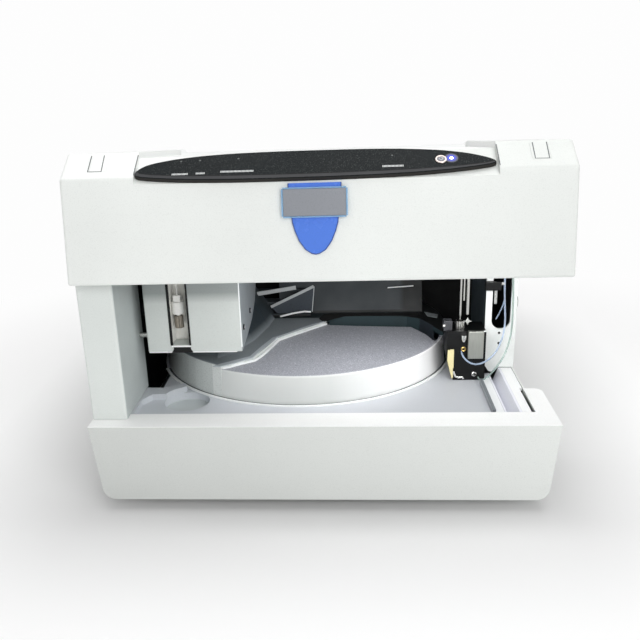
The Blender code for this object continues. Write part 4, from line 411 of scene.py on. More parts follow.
def lamp_paint():
    """Lit lamp: a hot middle inside its coloured glow."""
    paint = Paint("lamp_lit")
    colour = linear(LAMP)
    paint.set("Base Color", colour)
    paint.set("Emission Color", paint.mix(paint.cloud(*LAMP_NOISE), colour, linear(LAMP_CORE)))
    paint.set("Emission Strength", LAMP_GLOW)
    paint.set("Roughness", LAMP_ROUGHNESS)
    return paint.material


def halo_paint():
    """Glow round the lamp, fading outward over the black lens."""
    paint = Paint("lamp_halo")
    centre = HOOD_SLOPE @ Vector((*LAMP_CENTRE, HALO_RISE))
    fade = paint.calculated("POWER", paint.ranged(paint.distance(centre), HALO_RADII[1], 0.0), HALO_FADE)
    paint.set("Base Color", linear(LENS))
    paint.set("Emission Color", linear(HALO))
    paint.set("Emission Strength", paint.ranged(fade, 0.0, 1.0, 0.0, HALO_GLOW))
    paint.set("Roughness", HALO_ROUGHNESS)
    return paint.material


def at(x, y, z):
    return ORIGIN + Vector((x, y, z))


def slope_matrix(start, end):
    """Across, up the surface and outward, on a surface that rises from start to end."""
    up = Vector((end[0] - start[0], end[1] - start[1])).normalized()
    return PLAN @ Matrix((
        (1.0, 0.0, 0.0, 0.0),
        (0.0, up.x, -up.y, start[0]),
        (0.0, up.y, up.x, start[1]),
        (0.0, 0.0, 0.0, 1.0),
    ))


HOOD_SLOPE = slope_matrix(HOOD_FRONT_TOP, HOOD_CREST)


def add_object(name, data):
    item = bpy.data.objects.new(name, data)
    bpy.context.scene.collection.objects.link(item)
    return item


def add_piece(name, shape, paint, body="housing", bevel=0.0):
    bmesh.ops.recalc_face_normals(shape, faces=shape.faces)
    mesh = bpy.data.meshes.new(name)
    shape.to_mesh(mesh)
    shape.free()
    mesh.materials.append(PAINTS[paint])
    mesh.shade_smooth()
    mesh.set_sharp_from_angle(angle=SMOOTH_ANGLE)
    item = add_object(name, mesh)
    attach(item, body)
    if bevel > 0.0:
        step = item.modifiers.new("edge", "BEVEL")
        step.width = bevel
        step.segments = BEVEL_STEPS
        step.limit_method = "ANGLE"
        step.angle_limit = SMOOTH_ANGLE
    return item


def arc(centre, radius, start, end, steps):
    """Points along part of a circle, from one angle in degrees to another."""
    angles = [math.radians(start + (end - start) * step / steps) for step in range(steps + 1)]
    return [(centre[0] + radius * math.cos(angle), centre[1] + radius * math.sin(angle)) for angle in angles]


def ring(centre, radius, count):
    """Points spaced evenly round a circle."""
    return arc(centre, radius, 0.0, 360.0, count)[:-1]


def moved(shape, matrix):
    bmesh.ops.transform(shape, matrix=matrix, verts=shape.verts)
    return shape


def prism_shape(outline, low, high, matrix):
    """A closed outline in the local XY plane, extruded from low to high along local Z."""
    shape = bmesh.new()
    corners = [shape.verts.new((x, y, low)) for x, y in outline]
    face = shape.faces.new(corners)
    swept = bmesh.ops.extrude_face_region(shape, geom=[face])
    upper = [part for part in swept["geom"] if isinstance(part, bmesh.types.BMVert)]
    bmesh.ops.translate(shape, verts=upper, vec=(0.0, 0.0, high - low))
    return moved(shape, matrix)


def rectangle(low, high):
    return ((low[0], low[1]), (high[0], low[1]), (high[0], high[1]), (low[0], high[1]))


def add_boxes(rows):
    """Plain blocks from rows of name, paint, bevel, lowest corner and highest corner."""
    for name, kind, bevel, low, high in rows:
        shape = prism_shape(rectangle(low, high), low[2], high[2], PLAN)
        add_piece(name, shape, kind, bevel=bevel)


def join(shape, near, far):
    """Faces between two closed lines of corners."""
    for index in range(len(near)):
        follow = (index + 1) % len(near)
        shape.faces.new((near[index], near[follow], far[follow], far[index]))


def turned_shape(profile, segments, matrix):
    """A profile of radius and height spun about the local Z axis."""
    shape = bmesh.new()
    rings = []
    for radius, height in profile:
        if radius == 0.0:
            rings.append([shape.verts.new((0.0, 0.0, height))])
            continue
        rings.append([shape.verts.new((x, y, height)) for x, y in ring((0.0, 0.0), radius, segments)])
    for lower, upper in zip(rings, rings[1:]):
        for index in range(segments):
            follow = (index + 1) % segments
            corners = (
                lower[index % len(lower)], lower[follow % len(lower)],
                upper[follow % len(upper)], upper[index % len(upper)],
            )
            unique = list(dict.fromkeys(corners))
            if len(unique) > 2:
                shape.faces.new(unique)
    return moved(shape, matrix)


def strip_shape(points, half_width, low, high, matrix):
    """A flat strip of one width along a line of points, with a thickness along local Z."""
    line = [Vector(point) for point in points]
    left = []
    right = []
    for index, point in enumerate(line):
        before = line[max(index - 1, 0)]
        after = line[min(index + 1, len(line) - 1)]
        along = (after - before).normalized()
        side = Vector((-along.y, along.x)) * half_width
        left.append(tuple(point + side))
        right.append(tuple(point - side))
    return prism_shape(left + right[::-1], low, high, matrix)


def tube_piece(name, points, radius, paint, body="housing", smooth=True):
    """A round wire, bead or tube along points in build coordinates."""
    line = bpy.data.curves.new(name, "CURVE")
    line.dimensions = "3D"
    line.bevel_depth = radius
    line.bevel_resolution = TUBE_ROUNDNESS
    line.use_fill_caps = True
    run = line.splines.new("NURBS" if smooth else "POLY")
    run.points.add(len(points) - 1)
    for knot, spot in zip(run.points, points):
        knot.co = (*at(*spot), 1.0)
    if smooth:
        run.order_u = TUBE_ORDER
        run.use_endpoint_u = True
        run.resolution_u = TUBE_STEPS
    line.materials.append(PAINTS[paint])
    item = add_object(name, line)
    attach(item, body)


def facing(place, direction):
    """Matrix whose local Z points along a direction, at a place in build coordinates."""
    turn = Vector(direction).to_track_quat("Z", "Y").to_matrix().to_4x4()
    return Matrix.Translation(at(*place)) @ turn


# Screws: shares of radius and rise, then name, place, direction, radius, paints of head and cross
SCREW_RISE = 0.45
SCREW_PROFILE = ((0.0, 0.0), (1.0, 0.0), (1.0, 0.4), (0.8, 0.85), (0.4, 1.0), (0.0, 1.0))
CROSS_WIDE = 0.14
CROSS_LONG = 0.58
CROSS_LEVEL = (0.8, 1.06)
TOWARD_FRONT = (0.0, -1.0, 0.0)
TOWARD_RIGHT = (1.0, 0.0, 0.0)
SIDE_SCREWS = (
    ("box_screw_0", (0.1366, 0.1342, 0.1458), TOWARD_RIGHT, 0.003, "black", "bright_edge"),
    ("box_screw_1", (0.1366, 0.0847, 0.1445), TOWARD_RIGHT, 0.003, "black", "bright_edge"),
)
# The crosses of the slot and tower screws are near black painted shade
SLOT_SCREW = ("slot_screw", (0.3104, 0.235, 0.0975), TOWARD_FRONT, 0.001, "bright_edge", "painted_shade")
TOWER_SCREW = ("tower_screw", (0.3664, 0.119, 0.0785), TOWARD_FRONT, 0.0026, "chrome", "painted_shade")


def add_screw(name, place, direction, radius, paint, slot_paint):
    """Round-head screw with a cross recess."""
    matrix = facing(place, direction)
    rise = radius * SCREW_RISE
    profile = [(radius * across, rise * up) for across, up in SCREW_PROFILE]
    add_piece(name, turned_shape(profile, TURN_STEPS, matrix), paint)
    wide = radius * CROSS_WIDE
    long = radius * CROSS_LONG
    outline = (
        (-wide, -long), (wide, -long), (wide, -wide), (long, -wide), (long, wide), (wide, wide),
        (wide, long), (-wide, long), (-wide, wide), (-long, wide), (-long, -wide), (-wide, -wide),
    )
    cross = prism_shape(outline, *[rise * level for level in CROSS_LEVEL], matrix)
    add_piece(name + "_cross", cross, slot_paint)


def make_camera():
    cosine = math.cos(CAMERA_PITCH)
    sine = math.sin(CAMERA_PITCH)
    forward = Vector((math.sin(CAMERA_YAW) * cosine, math.cos(CAMERA_YAW) * cosine, -sine))
    flat = Vector((math.cos(CAMERA_YAW), -math.sin(CAMERA_YAW), 0.0))
    above = flat.cross(forward)
    right = flat * math.cos(CAMERA_ROLL) + above * math.sin(CAMERA_ROLL)
    up = above * math.cos(CAMERA_ROLL) - flat * math.sin(CAMERA_ROLL)
    lens = bpy.data.cameras.new("camera")
    lens.lens = CAMERA_LENS
    lens.shift_x, lens.shift_y = CAMERA_SHIFT
    lens.clip_start, lens.clip_end = CAMERA_REACH
    camera = add_object("camera", lens)
    turn = Matrix((right, up, -forward)).transposed().to_4x4()
    camera.matrix_world = Matrix.Translation(at(*CAMERA_PLACE)) @ turn
    bpy.context.scene.camera = camera


def stage_mesh():
    """Floor that bends up into a backdrop."""
    shape = bmesh.new()
    line = [(-STAGE_HALF, 0.0), (STAGE_BACK, 0.0)]
    for step in range(1, STAGE_BEND_STEPS + 1):
        angle = math.pi / 2 * step / STAGE_BEND_STEPS
        line.append((STAGE_BACK + STAGE_BEND * math.sin(angle), STAGE_BEND * (1 - math.cos(angle))))
    line.append((STAGE_BACK + STAGE_BEND, STAGE_HEIGHT))
    sides = [[shape.verts.new((x, y, z)) for y, z in line] for x in (-STAGE_HALF, STAGE_HALF)]
    for index in range(len(line) - 1):
        shape.faces.new((sides[0][index], sides[1][index], sides[1][index + 1], sides[0][index + 1]))
    mesh = bpy.data.meshes.new("stage_floor")
    shape.to_mesh(mesh)
    shape.free()
    mesh.shade_smooth()
    return mesh


def make_stage():
    """Pale ground with a soft shade round the object's foot."""
    paint = Paint("stage_surface")
    plain = paint.clouded(STAGE_COLOUR, STAGE_TONES, STAGE_NOISE)
    dark = shade(linear(STAGE_COLOUR), SHADE_DEPTH)
    paint.set("Base Color", paint.mix(footprint_shade(paint), plain, dark))
    paint.set("Roughness", STAGE_ROUGHNESS)
    paint.set("Specular IOR Level", STAGE_GLOSS)
    fade_to_white(paint)
    mesh = stage_mesh()
    mesh.materials.append(paint.material)
    floor = add_object("stage_floor", mesh)


def footprint_shade(paint):
    """One at the edge of the footprint, fading to zero on the floor round it."""
    low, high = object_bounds()
    gaps = []
    for axis, start, end in (("X", low.x, high.x), ("Y", low.y, high.y)):
        offset = paint.calculated("SUBTRACT", paint.along(axis), (start + end) / 2)
        distance = paint.calculated("ABSOLUTE", offset, 0.0)
        beyond = paint.calculated("SUBTRACT", distance, (end - start) / 2)
        gaps.append(paint.calculated("MAXIMUM", beyond, 0.0))
    squares = [paint.calculated("MULTIPLY", gap, gap) for gap in gaps]
    length = paint.calculated("POWER", paint.calculated("ADD", *squares), 0.5)
    return paint.ranged(length, *SHADE_REACH)


def seen_directly(tree):
    """One for rays that show the stage to the camera, in gloss or through clear parts; zero for its light."""
    path = tree.nodes.new("ShaderNodeLightPath")
    total = path.outputs["Is Camera Ray"]
    for name in ("Is Glossy Ray", "Is Transmission Ray"):
        larger = tree.nodes.new("ShaderNodeMath")
        larger.operation = "MAXIMUM"
        feed(tree, larger.inputs[0], total)
        feed(tree, larger.inputs[1], path.outputs[name])
        total = larger.outputs["Value"]
    return total


def blend_shaders(tree, factor, first, second, target):
    """Mix two shaders and send the result to an output node."""
    blend = tree.nodes.new("ShaderNodeMixShader")
    for socket, source in zip(blend.inputs, (factor, first, second)):
        feed(tree, socket, source)
    feed(tree, tree.nodes[target].inputs["Surface"], blend.outputs["Shader"])


def fade_to_white(paint):
    """Fade the far floor and the backdrop into plain white where they are seen."""
    far = paint.ranged(paint.distance((0.0, 0.0, 0.0)), *STAGE_FADE)
    far.node.interpolation_type = "SMOOTHSTEP"
    factor = paint.calculated("MULTIPLY", far, seen_directly(paint.tree))
    glow = paint.node("ShaderNodeEmission", {"Color": GROUND_WHITE}).outputs["Emission"]
    blend_shaders(paint.tree, factor, paint.shader.outputs["BSDF"], glow, "Material Output")


def add_light(name, place, aim, size, power):
    """Rectangular light at a place, turned to its aim."""
    lamp = bpy.data.lights.new(name, "AREA")
    lamp.shape = "RECTANGLE"
    lamp.size, lamp.size_y = size
    lamp.energy = power
    item = add_object(name, lamp)
    item.location = place
    item.rotation_euler = (aim - place).to_track_quat("-Z", "Y").to_euler()


def make_lights():
    for name, place, aim, size, power in STAGE_LIGHTS:
        add_light(name, Vector(place), Vector(aim), size, power)
    for name, place, aim, size, power in BAY_LIGHTS:
        add_light(name, at(*place), at(*aim), size, power)


def make_sky():
    """Even pale light, with plain white where the sky itself is seen."""
    world = bpy.data.worlds.new("sky")
    world.use_nodes = True
    tree = world.node_tree
    sky = tree.nodes["Background"]
    seen = tree.nodes.new("ShaderNodeBackground")
    for node, colour, strength in ((sky, WHITE, SKY_STRENGTH), (seen, GROUND_WHITE, 1.0)):
        feed(tree, node.inputs["Color"], colour)
        feed(tree, node.inputs["Strength"], strength)
    outputs = [node.outputs["Background"] for node in (sky, seen)]
    blend_shaders(tree, seen_directly(tree), *outputs, "World Output")
    bpy.context.scene.world = world


# Painted zones: colour, then the spans over which it takes over, in build coordinates
# Fascia: painted shade, darker at the left and lighter toward the right, and a painted highlight on the ledge
# top
FASCIA_TONES = (
    ("CFD2CF", ()),
    ("E0E3E0", (("X", 0.0, 0.425),)),
    ("FAFBFA", (("Z", 0.0776, 0.078),)),
)
HOOD_TONES = (
    ("E6E9E6", ()),
    # Painted shade: the hood darker toward the right
    ("D8DBD8", (("X", 0.26, 0.41),)),
    # Painted highlight: white on the top behind the crest
    ("FFFFFF", (("Y", 0.04, 0.042), ("Z", 0.3, 0.3006))),
    # Sloped top: painted highlight lighter at the left, painted shade darker at the right
    ("F0F2F0", (("Z", 0.2996, 0.3006), ("X", 0.26, 0.12))),
    ("DADDDA", (("Z", 0.2996, 0.3006), ("X", 0.33, 0.4))),
)
SHROUD_TONES = (
    ("D8DDDB", ()),
    ("868D91", (("Z", 0.104, 0.1046),)),
    ("2E373D", (("Z", 0.1052, 0.112),)),
    ("30363A", (("Y", 0.231, 0.2345),)),
    # Painted shadow: near black at the foot of the wall behind the slot
    ("101314", (("Y", 0.231, 0.2345), ("Z", 0.1085, 0.1078))),
    ("304247", (("Y", 0.231, 0.2345), ("Z", 0.1052, 0.1046))),
    ("304247", (("X", 0.298, 0.304), ("Z", 0.1056, 0.105))),
    # Painted shadow: near black in the gap at the slot's right end
    ("101314", (("X", 0.298, 0.304), ("Z", 0.104, 0.1046))),
    ("EBEFED", (("X", 0.1016, 0.1019), ("Y", 0.1, 0.098), ("Z", 0.1043, 0.1038))),
)
BOX_TONES = (
    ("CBD0CD", ()),
    # Painted shadow of the hood: the upper part darker
    ("979D9C", (("Z", 0.174, 0.184),)),
    # Painted shade: the right side face darker
    ("8B9195", (("X", 0.136, 0.1364),)),
)
POST_TONES = (
    ("DBE0DD", ()),
    # Painted shade: the right side face darker
    ("BDC4C3", (("X", 0.0326, 0.0329),)),
    # Painted shadow of the hood on the upper part
    ("B9BFBE", (("Z", 0.178, 0.19), ("Y", 0.03, 0.036))),
)
COLUMN_TONES = (
    ("E6E9E7", ()),
    ("2E363B", (("X", 0.38, 0.379), ("Y", 0.1386, 0.1394))),
)
TRAY_TONES = (
    ("D3D6DC", ()),
    ("C2C5CA", (("X", 0.23, 0.3),)),
    ("CED2D7", (("X", 0.115, 0.085),)),
    ("C8CECF", (("Z", 0.0655, 0.0645),)),
    ("6F757A", (("X", 0.3703, 0.3706), ("X", 0.3738, 0.3733), ("Z", 0.0722, 0.0726))),
    ("F4F6F7", (("X", 0.3736, 0.374), ("X", 0.3832, 0.3828), ("Y", 0.125, 0.124))),
    ("EEEFF6", (("X", 0.3832, 0.3838), ("X", 0.3965, 0.396))),
    ("FAFBFB", (("X", 0.396, 0.3966),)),
)


def panel_paint(name, side):
    """Pale sheet outside, near black inside as painted shade."""
    low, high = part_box(side)
    inner, turn = (low.x, -1) if low.x > 0 else (high.x, 1)
    paint = Paint(name)
    start, end = [inner - turn * reach for reach in PANEL_TURN]
    inside = paint.ranged(paint.along("X"), start, end)
    colour = linear(SHELL)
    grain = paint.noise(PANEL_GRAIN, FINE_DETAIL)
    base = paint.mix(paint.ranged(grain, *PANEL_SPAN), *[shade(colour, tone) for tone in PANEL_TONES])
    paint.set("Base Color", paint.mix(inside, base, linear(PANEL_INSIDE)))
    paint.set("Roughness", paint.cloud(*WEAR_NOISE, *PANEL_ROUGHNESS))
    paint.bump(grain, FINE_BUMP, FINE_RELIEF)
    return paint.material


# Moulded paints: material, colour, roughness, mottle, grain, speckle, gloss, metallic
MOULDED = {
    "shell_sheet": ("shell_sheet", SHELL, 0.5, 0.02, 2200.0, 0.04),
    "sensor": ("sensor_grey", "3C3D41", 0.5, 0.06, 700.0, 0.15),
    "top_sheet": ("top_sheet", "F6F8F7", 0.5, 0.02, 2200.0, 0.03),
    "slate": ("slate_plastic", SLATE, 0.5, 0.08, 900.0, 0.25),
    "lens_front": ("lens_front", "37383A", 0.5, 0.08, 1200.0, 0.15, 0.15),
    "lens_lip": ("lens_lip", LENS_LIP, 0.5, 0.06, 1200.0, 0.15, 0.15),
    "badge": ("badge_brushed", "878A90", 0.4, 0.05, 1200.0, 0.14, 0.5, 0.25),
    "tongue": ("tongue_blue", "4C7BDD", 0.25, 0.06, 900.0, 0.1),
    "tongue_dark": ("tongue_rim", "23458F", 0.3, 0.06, 900.0, 0.1),
    "black": ("black_plastic", BLACK, 0.42, 0.15, 1000.0, 0.35, 0.25),
    # Near black painted shade for holes, grooves, gaps, recesses and the back of the bay
    "painted_shade": ("dark_recess", BLACK, 0.9, 0.2, 700.0, 0.3),
    "white": ("white_plastic", "F0F0EC", 0.35, 0.03, 900.0, 0.06),
    "print": ("print_white", "D9DCDC", 0.6, 0.05, 900.0, 0.2),
    "beige": ("beige_plate", "FFFDF6", 0.5, 0.05, 700.0, 0.04),
    "cream": ("cream_strip", "E2D6A4", 0.5, 0.05, 700.0, 0.1),
    "rubber": ("rubber_foot", "222324", 0.85, 0.1, 500.0, 0.3),
    "board": ("board_green", "1F5B38", 0.45, 0.1, 400.0, 0.3),
    # Grey: painted light on the faces of the duct's ribs
    "pale_edge": ("pale_edge", "B9BDBE", 0.45, 0.05, 800.0, 0.1),
    "ledge": ("step_ledge", "B9C0C5", 0.5, 0.06, 800.0, 0.12),
    # Near white: painted highlights along edges, lips, the step bead and the foot ring, and pale screw parts
    "bright_edge": ("bright_edge", "F2F4F4", 0.4, 0.03, 800.0, 0.06),
    "grey_block": ("grey_block", "7E7F88", 0.5, 0.06, 700.0, 0.15),
    "bracket": ("bracket_grey", "8F9698", 0.5, 0.2, 300.0, 0.5),
    # Grey painted shade in seams, steps and creases
    "dark_line": ("dark_line", "4A5054", 0.6, 0.05, 900.0, 0.1),
    "dull_lamp": ("lamp_dull", "4A4F4E", 0.3, 0.1, 900.0, 0.2),
}
# Painted in zones: material, tones, roughness, grain, speckle
BLENDED = {
    "post": ("post_plastic", POST_TONES),
    "tray": ("tray_plastic", TRAY_TONES, 0.45, 1000.0),
    "shroud": ("shroud_plastic", SHROUD_TONES, 0.6, 900.0, 0.22),
    "fascia": ("fascia_plastic", FASCIA_TONES),
    "hood": ("hood_plastic", HOOD_TONES, 0.42),
    "box": ("box_plastic", BOX_TONES),
    "column": ("column_plastic", COLUMN_TONES),
}
# Metals: material, colour, roughness, stretch of the grain, grain
METALS = {
    "ring": ("ring_satin", "B8AEA9", 0.35),
    "nut": ("nut_worn", "9C958A", 0.38),
    # Pale metal of the rod clamp, also the painted glints on the column
    "pale_metal": ("pale_metal", "D2D4D0", 0.3),
    "steel": ("steel_drawn", "C9C9C5", 0.24, (1.0, 1.0, 0.05)),
    "chrome": ("chrome", "E2E2DE", 0.12),
    "brass": ("brass", "C8A96A", 0.25),
    "dark_steel": ("dark_steel", "5A5C60", 0.45),
    "alloy": ("alloy_ground", "A9ABA5", 0.42, (30.0, 1.0, 1.0), 80.0),
}
# Clear plastics: material, colour, roughness
CLEAR = {
    "badge_edge": ("badge_edge", "A9D4F6"),
    "glass": ("barrel_glass", "DCE8EC", 0.04),
    "tube_blue": ("tube_blue", "C9DAF0"),
    "tube_green": ("tube_green", "B9CCC6"),
}
# Every material by its short name
PAINTS = {}


def make_paints():
    PAINTS.update({
        "cover": cover_paint(),
        "left_panel": panel_paint("left_sheet", "left_side_panel"),
        "right_panel": panel_paint("right_sheet", "right_side_panel"),
        "well": well_paint(),
        "lens": lens_paint(),
        "lamp": lamp_paint(),
        "halo": halo_paint(),
    })
    for maker, table in ((moulded, MOULDED), (blended, BLENDED), (metal, METALS), (clear_plastic, CLEAR)):
        for kind, values in table.items():
            PAINTS[kind] = maker(*values)


# Names of the nodes that take each paint
NODE_PAINTS = {
    "hood": "hood",
    "fascia": "base_fascia",
    "shell_sheet": "rear_panel front_door base_pan",
    "top_sheet": "top_cover",
    "left_panel": "left_side_panel",
    "right_panel": "right_side_panel",
    "post": "left_post",
    "box": "syringe_cover",
    "column": "right_column",
    "tray": "floor_tray",
    "cover": "carousel_cover",
    "shroud": "carousel_shroud",
    "well": "cooling_well",
    "lens": "status_bar",
    "badge": "badge_plate",
    "tongue": "badge_tongue",
    "steel": "guide_rod_long guide_rod_short needle inject_port spacer_stud",
    "ring": "power_button",
    "dark_steel": (
        "door_pivot_left door_pivot_right arm_spindle carousel_motor "
        "syringe_drive carousel_rotor"
    ),
    # The inner deck takes the near black painted shade of the deep bay
    "painted_shade": "inner_deck",
    "nut": "plunger_screw",
    "alloy": "valve_block power_supply needle_arm",
    "black": "needle_block tubing_clip fan_frame fan_rotor power_inlet power_switch needle_carriage",
    "white": "syringe_plunger tubing_union",
    "beige": "syringe_back_plate",
    "cream": "side_strip",
    "rubber": "foot_a foot_b foot_c foot_d",
    "glass": "syringe_barrel",
    "tube_blue": "tubing_blue",
    "tube_green": "tubing_green",
    "board": "control_board",
    "grey_block": "vial_rack_a vial_rack_b vial_rack_c",
    "lamp": "status_lamp",
}


def paint_nodes(nodes):
    for kind, names in NODE_PAINTS.items():
        for name in names.split():
            slots = nodes[name].data.materials
            slots.clear()
            slots.append(PAINTS[kind])


# Hood trim: a plain pad and fine lines of painted shade at each end, then the lens
PADS = (((0.0241, 0.0091), (0.0389, 0.0289)), ((0.3891, 0.0091), (0.4039, 0.0289)))
PAD_LEVEL = (-0.00075, 0.0001)
PAD_LINES = (
    ((0.0224, 0.0296), (0.023, 0.009), (0.0346, 0.009), (0.0335, 0.0296)),
    ((0.3916, 0.03), (0.3912, 0.01), (0.4024, 0.01), (0.403, 0.03)),
)
PAD_LINE_LEVEL = (0.0, 0.0003)
END_LINES = (((0.063, 0.029), (0.063, 0.003)), ((0.3624, 0.029), (0.3624, 0.003)))
END_LINE_LEVEL = (0.0, 0.0002)
FINE_LINE_HALF = 0.00035
LIP_PROUD = 0.0003
LIP_TOP = -0.001
MARK_ROWS = (
    (0.0957, 0.1083, 13, 0.0018), (0.1158, 0.1224, 7, 0.0022), (0.1362, 0.1628, 25, 0.0035),
    (0.269, 0.2853, 16, 0.0047),
)
MARK_WIDTH = 0.0007
MARK_HEIGHT = 0.0022
MARK_RISE = GAP / 10


def curved(points, steps):
    """A smooth closed line through the points, each span cut into equal steps."""
    result = []
    count = len(points)
    for index in range(count):
        before, here, after, beyond = [Vector(points[(index + shift) % count]) for shift in (-1, 0, 1, 2)]
        for step in range(steps):
            share = step / steps
            bend = (before * 2 - here * 5 + after * 4 - beyond) * share ** 2
            twist = (here * 3 - before - after * 3 + beyond) * share ** 3
            result.append(tuple((here * 2 + (after - before) * share + bend + twist) / 2))
    return result


def offset_outline(points, distance):
    """Move every corner of a closed outline outward by a distance."""
    result = []
    count = len(points)
    for index in range(count):
        here = Vector(points[index])
        before = (here - Vector(points[index - 1])).normalized()
        after = (Vector(points[(index + 1) % count]) - here).normalized()
        normal = Vector((before.y, -before.x)) + Vector((after.y, -after.x))
        result.append(tuple(here + normal.normalized() * distance))
    return result


def rim_shape(outer, inner, low, high, matrix):
    """A closed ring between two outlines with the same count of corners."""
    shape = bmesh.new()
    loops = []
    for outline, level in ((outer, low), (outer, high), (inner, high), (inner, low)):
        loops.append([shape.verts.new((x, y, level)) for x, y in outline])
    for near, far in zip(loops, loops[1:] + loops[:1]):
        join(shape, near, far)
    return moved(shape, matrix)


def dress_hood():
    for index, corners in enumerate(PADS):
        pad = prism_shape(rectangle(*corners), *PAD_LEVEL, HOOD_SLOPE)
        add_piece(f"hood_pad_{index}", pad, "hood", bevel=PAD_LEVEL[1])
        line = strip_shape(PAD_LINES[index], FINE_LINE_HALF, *PAD_LINE_LEVEL, HOOD_SLOPE)
        add_piece(f"hood_pad_line_{index}", line, "dark_line")
        edge = strip_shape(END_LINES[index], FINE_LINE_HALF, *END_LINE_LEVEL, HOOD_SLOPE)
        add_piece(f"hood_end_line_{index}", edge, "dark_line")
    dress_lens()


def dress_lens():
    """Lip and groove round the lens, its lighter front band and its ticks."""
    outline = curved(LENS_POINTS, LENS_STEPS)
    inner = offset_outline(outline, -LIP_PROUD * 2)
    lip = rim_shape(offset_outline(outline, LIP_PROUD), inner, -LENS_THICK, LIP_TOP, HOOD_SLOPE)
    add_piece("lens_lip", lip, "lens_lip", bevel=LIP_PROUD / 2)
    # The groove and the thin line are near black: painted shade
    groove = rim_shape(offset_outline(outline, LIP_PROUD / 3), inner, LIP_TOP, LIP_TOP / 2, HOOD_SLOPE)
    add_piece("lens_groove", groove, "painted_shade")
    front = LENS_POINTS[:LENS_FRONT_COUNT] + LENS_LINE[::-1]
    add_piece("lens_front", prism_shape(front, 0.0, GAP / 3, HOOD_SLOPE), "lens_front")
    add_piece("lens_line", strip_shape(LENS_LINE, LENS_LINE_HALF, 0.0, GAP / 2, HOOD_SLOPE), "painted_shade")
    add_marks()


def add_marks():
    """Rows of short plain ticks printed on the lens."""
    shape = bmesh.new()
    for start, end, count, level in MARK_ROWS:
        for index in range(count):
            middle = start + (end - start) * index / (count - 1)
            corners = [
                shape.verts.new((middle + x * MARK_WIDTH / 2, level + y * MARK_HEIGHT, MARK_RISE))
                for x, y in ((-1, 0), (1, 0), (1, 1), (-1, 1))
            ]
            shape.faces.new(corners)
    add_piece("lens_ticks", moved(shape, HOOD_SLOPE), "print")


# Top sheet behind the hood, with narrow rims over the side panels
TOP_FALL = math.radians(5)
TOP_DROP = 0.0051
TOP_RIM = 0.0065
TOP_SEAT = 0.0023


def dress_top():
    low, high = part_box("top_cover")
    fall = (high.y - low.y) * math.tan(TOP_FALL)
    section = (
        (low.x, 0.0), (low.x + TOP_RIM, -TOP_DROP), (high.x - TOP_RIM, -TOP_DROP), (high.x, 0.0),
        (high.x, -SHEET), (high.x - TOP_SEAT, -SHEET), (high.x - TOP_SEAT, -TOP_DROP - SHEET),
        (low.x + TOP_SEAT, -TOP_DROP - SHEET), (low.x + TOP_SEAT, -SHEET), (low.x, -SHEET),
    )
    shape = bmesh.new()
    near = [shape.verts.new((x, low.y, high.z + z)) for x, z in section]
    far = [shape.verts.new((x, high.y, high.z - fall + z)) for x, z in section]
    shape.faces.new(near)
    shape.faces.new(far)
    join(shape, near, far)
    sheet = add_piece("top_sheet", shape, "top_sheet")
    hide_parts("top_cover")


# Button cap with its sign, the lit lamp with its halo, and the dull lamps
BUTTON_CENTRE = (0.3162, 0.0121)
CAP_RADIUS = 0.002976
CAP_PROFILE = (
    (0.0, 0.0002), (CAP_RADIUS, 0.0002), (CAP_RADIUS, 0.0006), (CAP_RADIUS * 0.9, 0.0009), (0.0, 0.001),
)
CAP_STEPS = 28
SIGN_ARC = (90.0, -210.0, 14)
SIGN_HALF = CAP_RADIUS * 0.07
SIGN_LEVEL = (0.0009, 0.00105)
LAMP_CENTRE = (0.3247, 0.0136)
HALO_RADII = (0.00135, 0.0056)
HALO_RISE = GAP / 5
HALO_STEPS = 40
DULL_LAMPS = ((0.1171, 0.0195), (0.1012, 0.019), (0.1495, 0.0205), (0.277, 0.019))
DULL_PROFILE = ((0.0009, 0.0), (0.00054, 0.00021), (0.0, 0.0003))
DULL_STEPS = 16


def dress_button():
    seat = HOOD_SLOPE @ Matrix.Translation((*BUTTON_CENTRE, 0.0))
    add_piece("button_cap", turned_shape(CAP_PROFILE, CAP_STEPS, seat), "grey_block", "power_button")
    line = arc((0.0, 0.0), CAP_RADIUS / 2, *SIGN_ARC)
    add_piece("button_sign", strip_shape(line, SIGN_HALF, *SIGN_LEVEL, seat), "print", "power_button")
    for index, (x, y) in enumerate(DULL_LAMPS):
        dome = turned_shape(DULL_PROFILE, DULL_STEPS, HOOD_SLOPE @ Matrix.Translation((x, y, 0.0)))
        add_piece(f"dull_lamp_{index}", dome, "dull_lamp")
    halo = bmesh.new()
    loops = [
        [halo.verts.new((x, y, HALO_RISE)) for x, y in ring(LAMP_CENTRE, radius, HALO_STEPS)]
        for radius in HALO_RADII
    ]
    join(halo, *loops)
    add_piece("lamp_halo", moved(halo, HOOD_SLOPE), "halo")


# Clear strips along the badge's edges, and the wire along the tongue's rim
BADGE_EDGES = (
    ("left", (0.186, 0.055), (0.1872, 0.0772)),
    ("right", (0.239, 0.055), (0.2402, 0.0772)),
    ("low", (0.1872, 0.0538), (0.239, 0.055)),
    ("high", (0.1872, 0.0772), (0.239, 0.0784)),
)
BADGE_LEVEL = (0.0015, 0.0034)
TONGUE_FACE = 0.0012
TONGUE_WIRE = 0.0004


def dress_badge():
    face = slope_matrix((0.0, HOOD_BOTTOM), HOOD_FRONT_TOP)
    for side, low, high in BADGE_EDGES:
        edge = prism_shape(rectangle(low, high), *BADGE_LEVEL, face)
        add_piece(f"badge_edge_{side}", edge, "badge_edge")
    rim = [face @ Vector((x, y, TONGUE_FACE)) - ORIGIN for x, y in TONGUE_POINTS]
    tube_piece("tongue_rim", rim, TONGUE_WIRE, "tongue_dark", smooth=False)


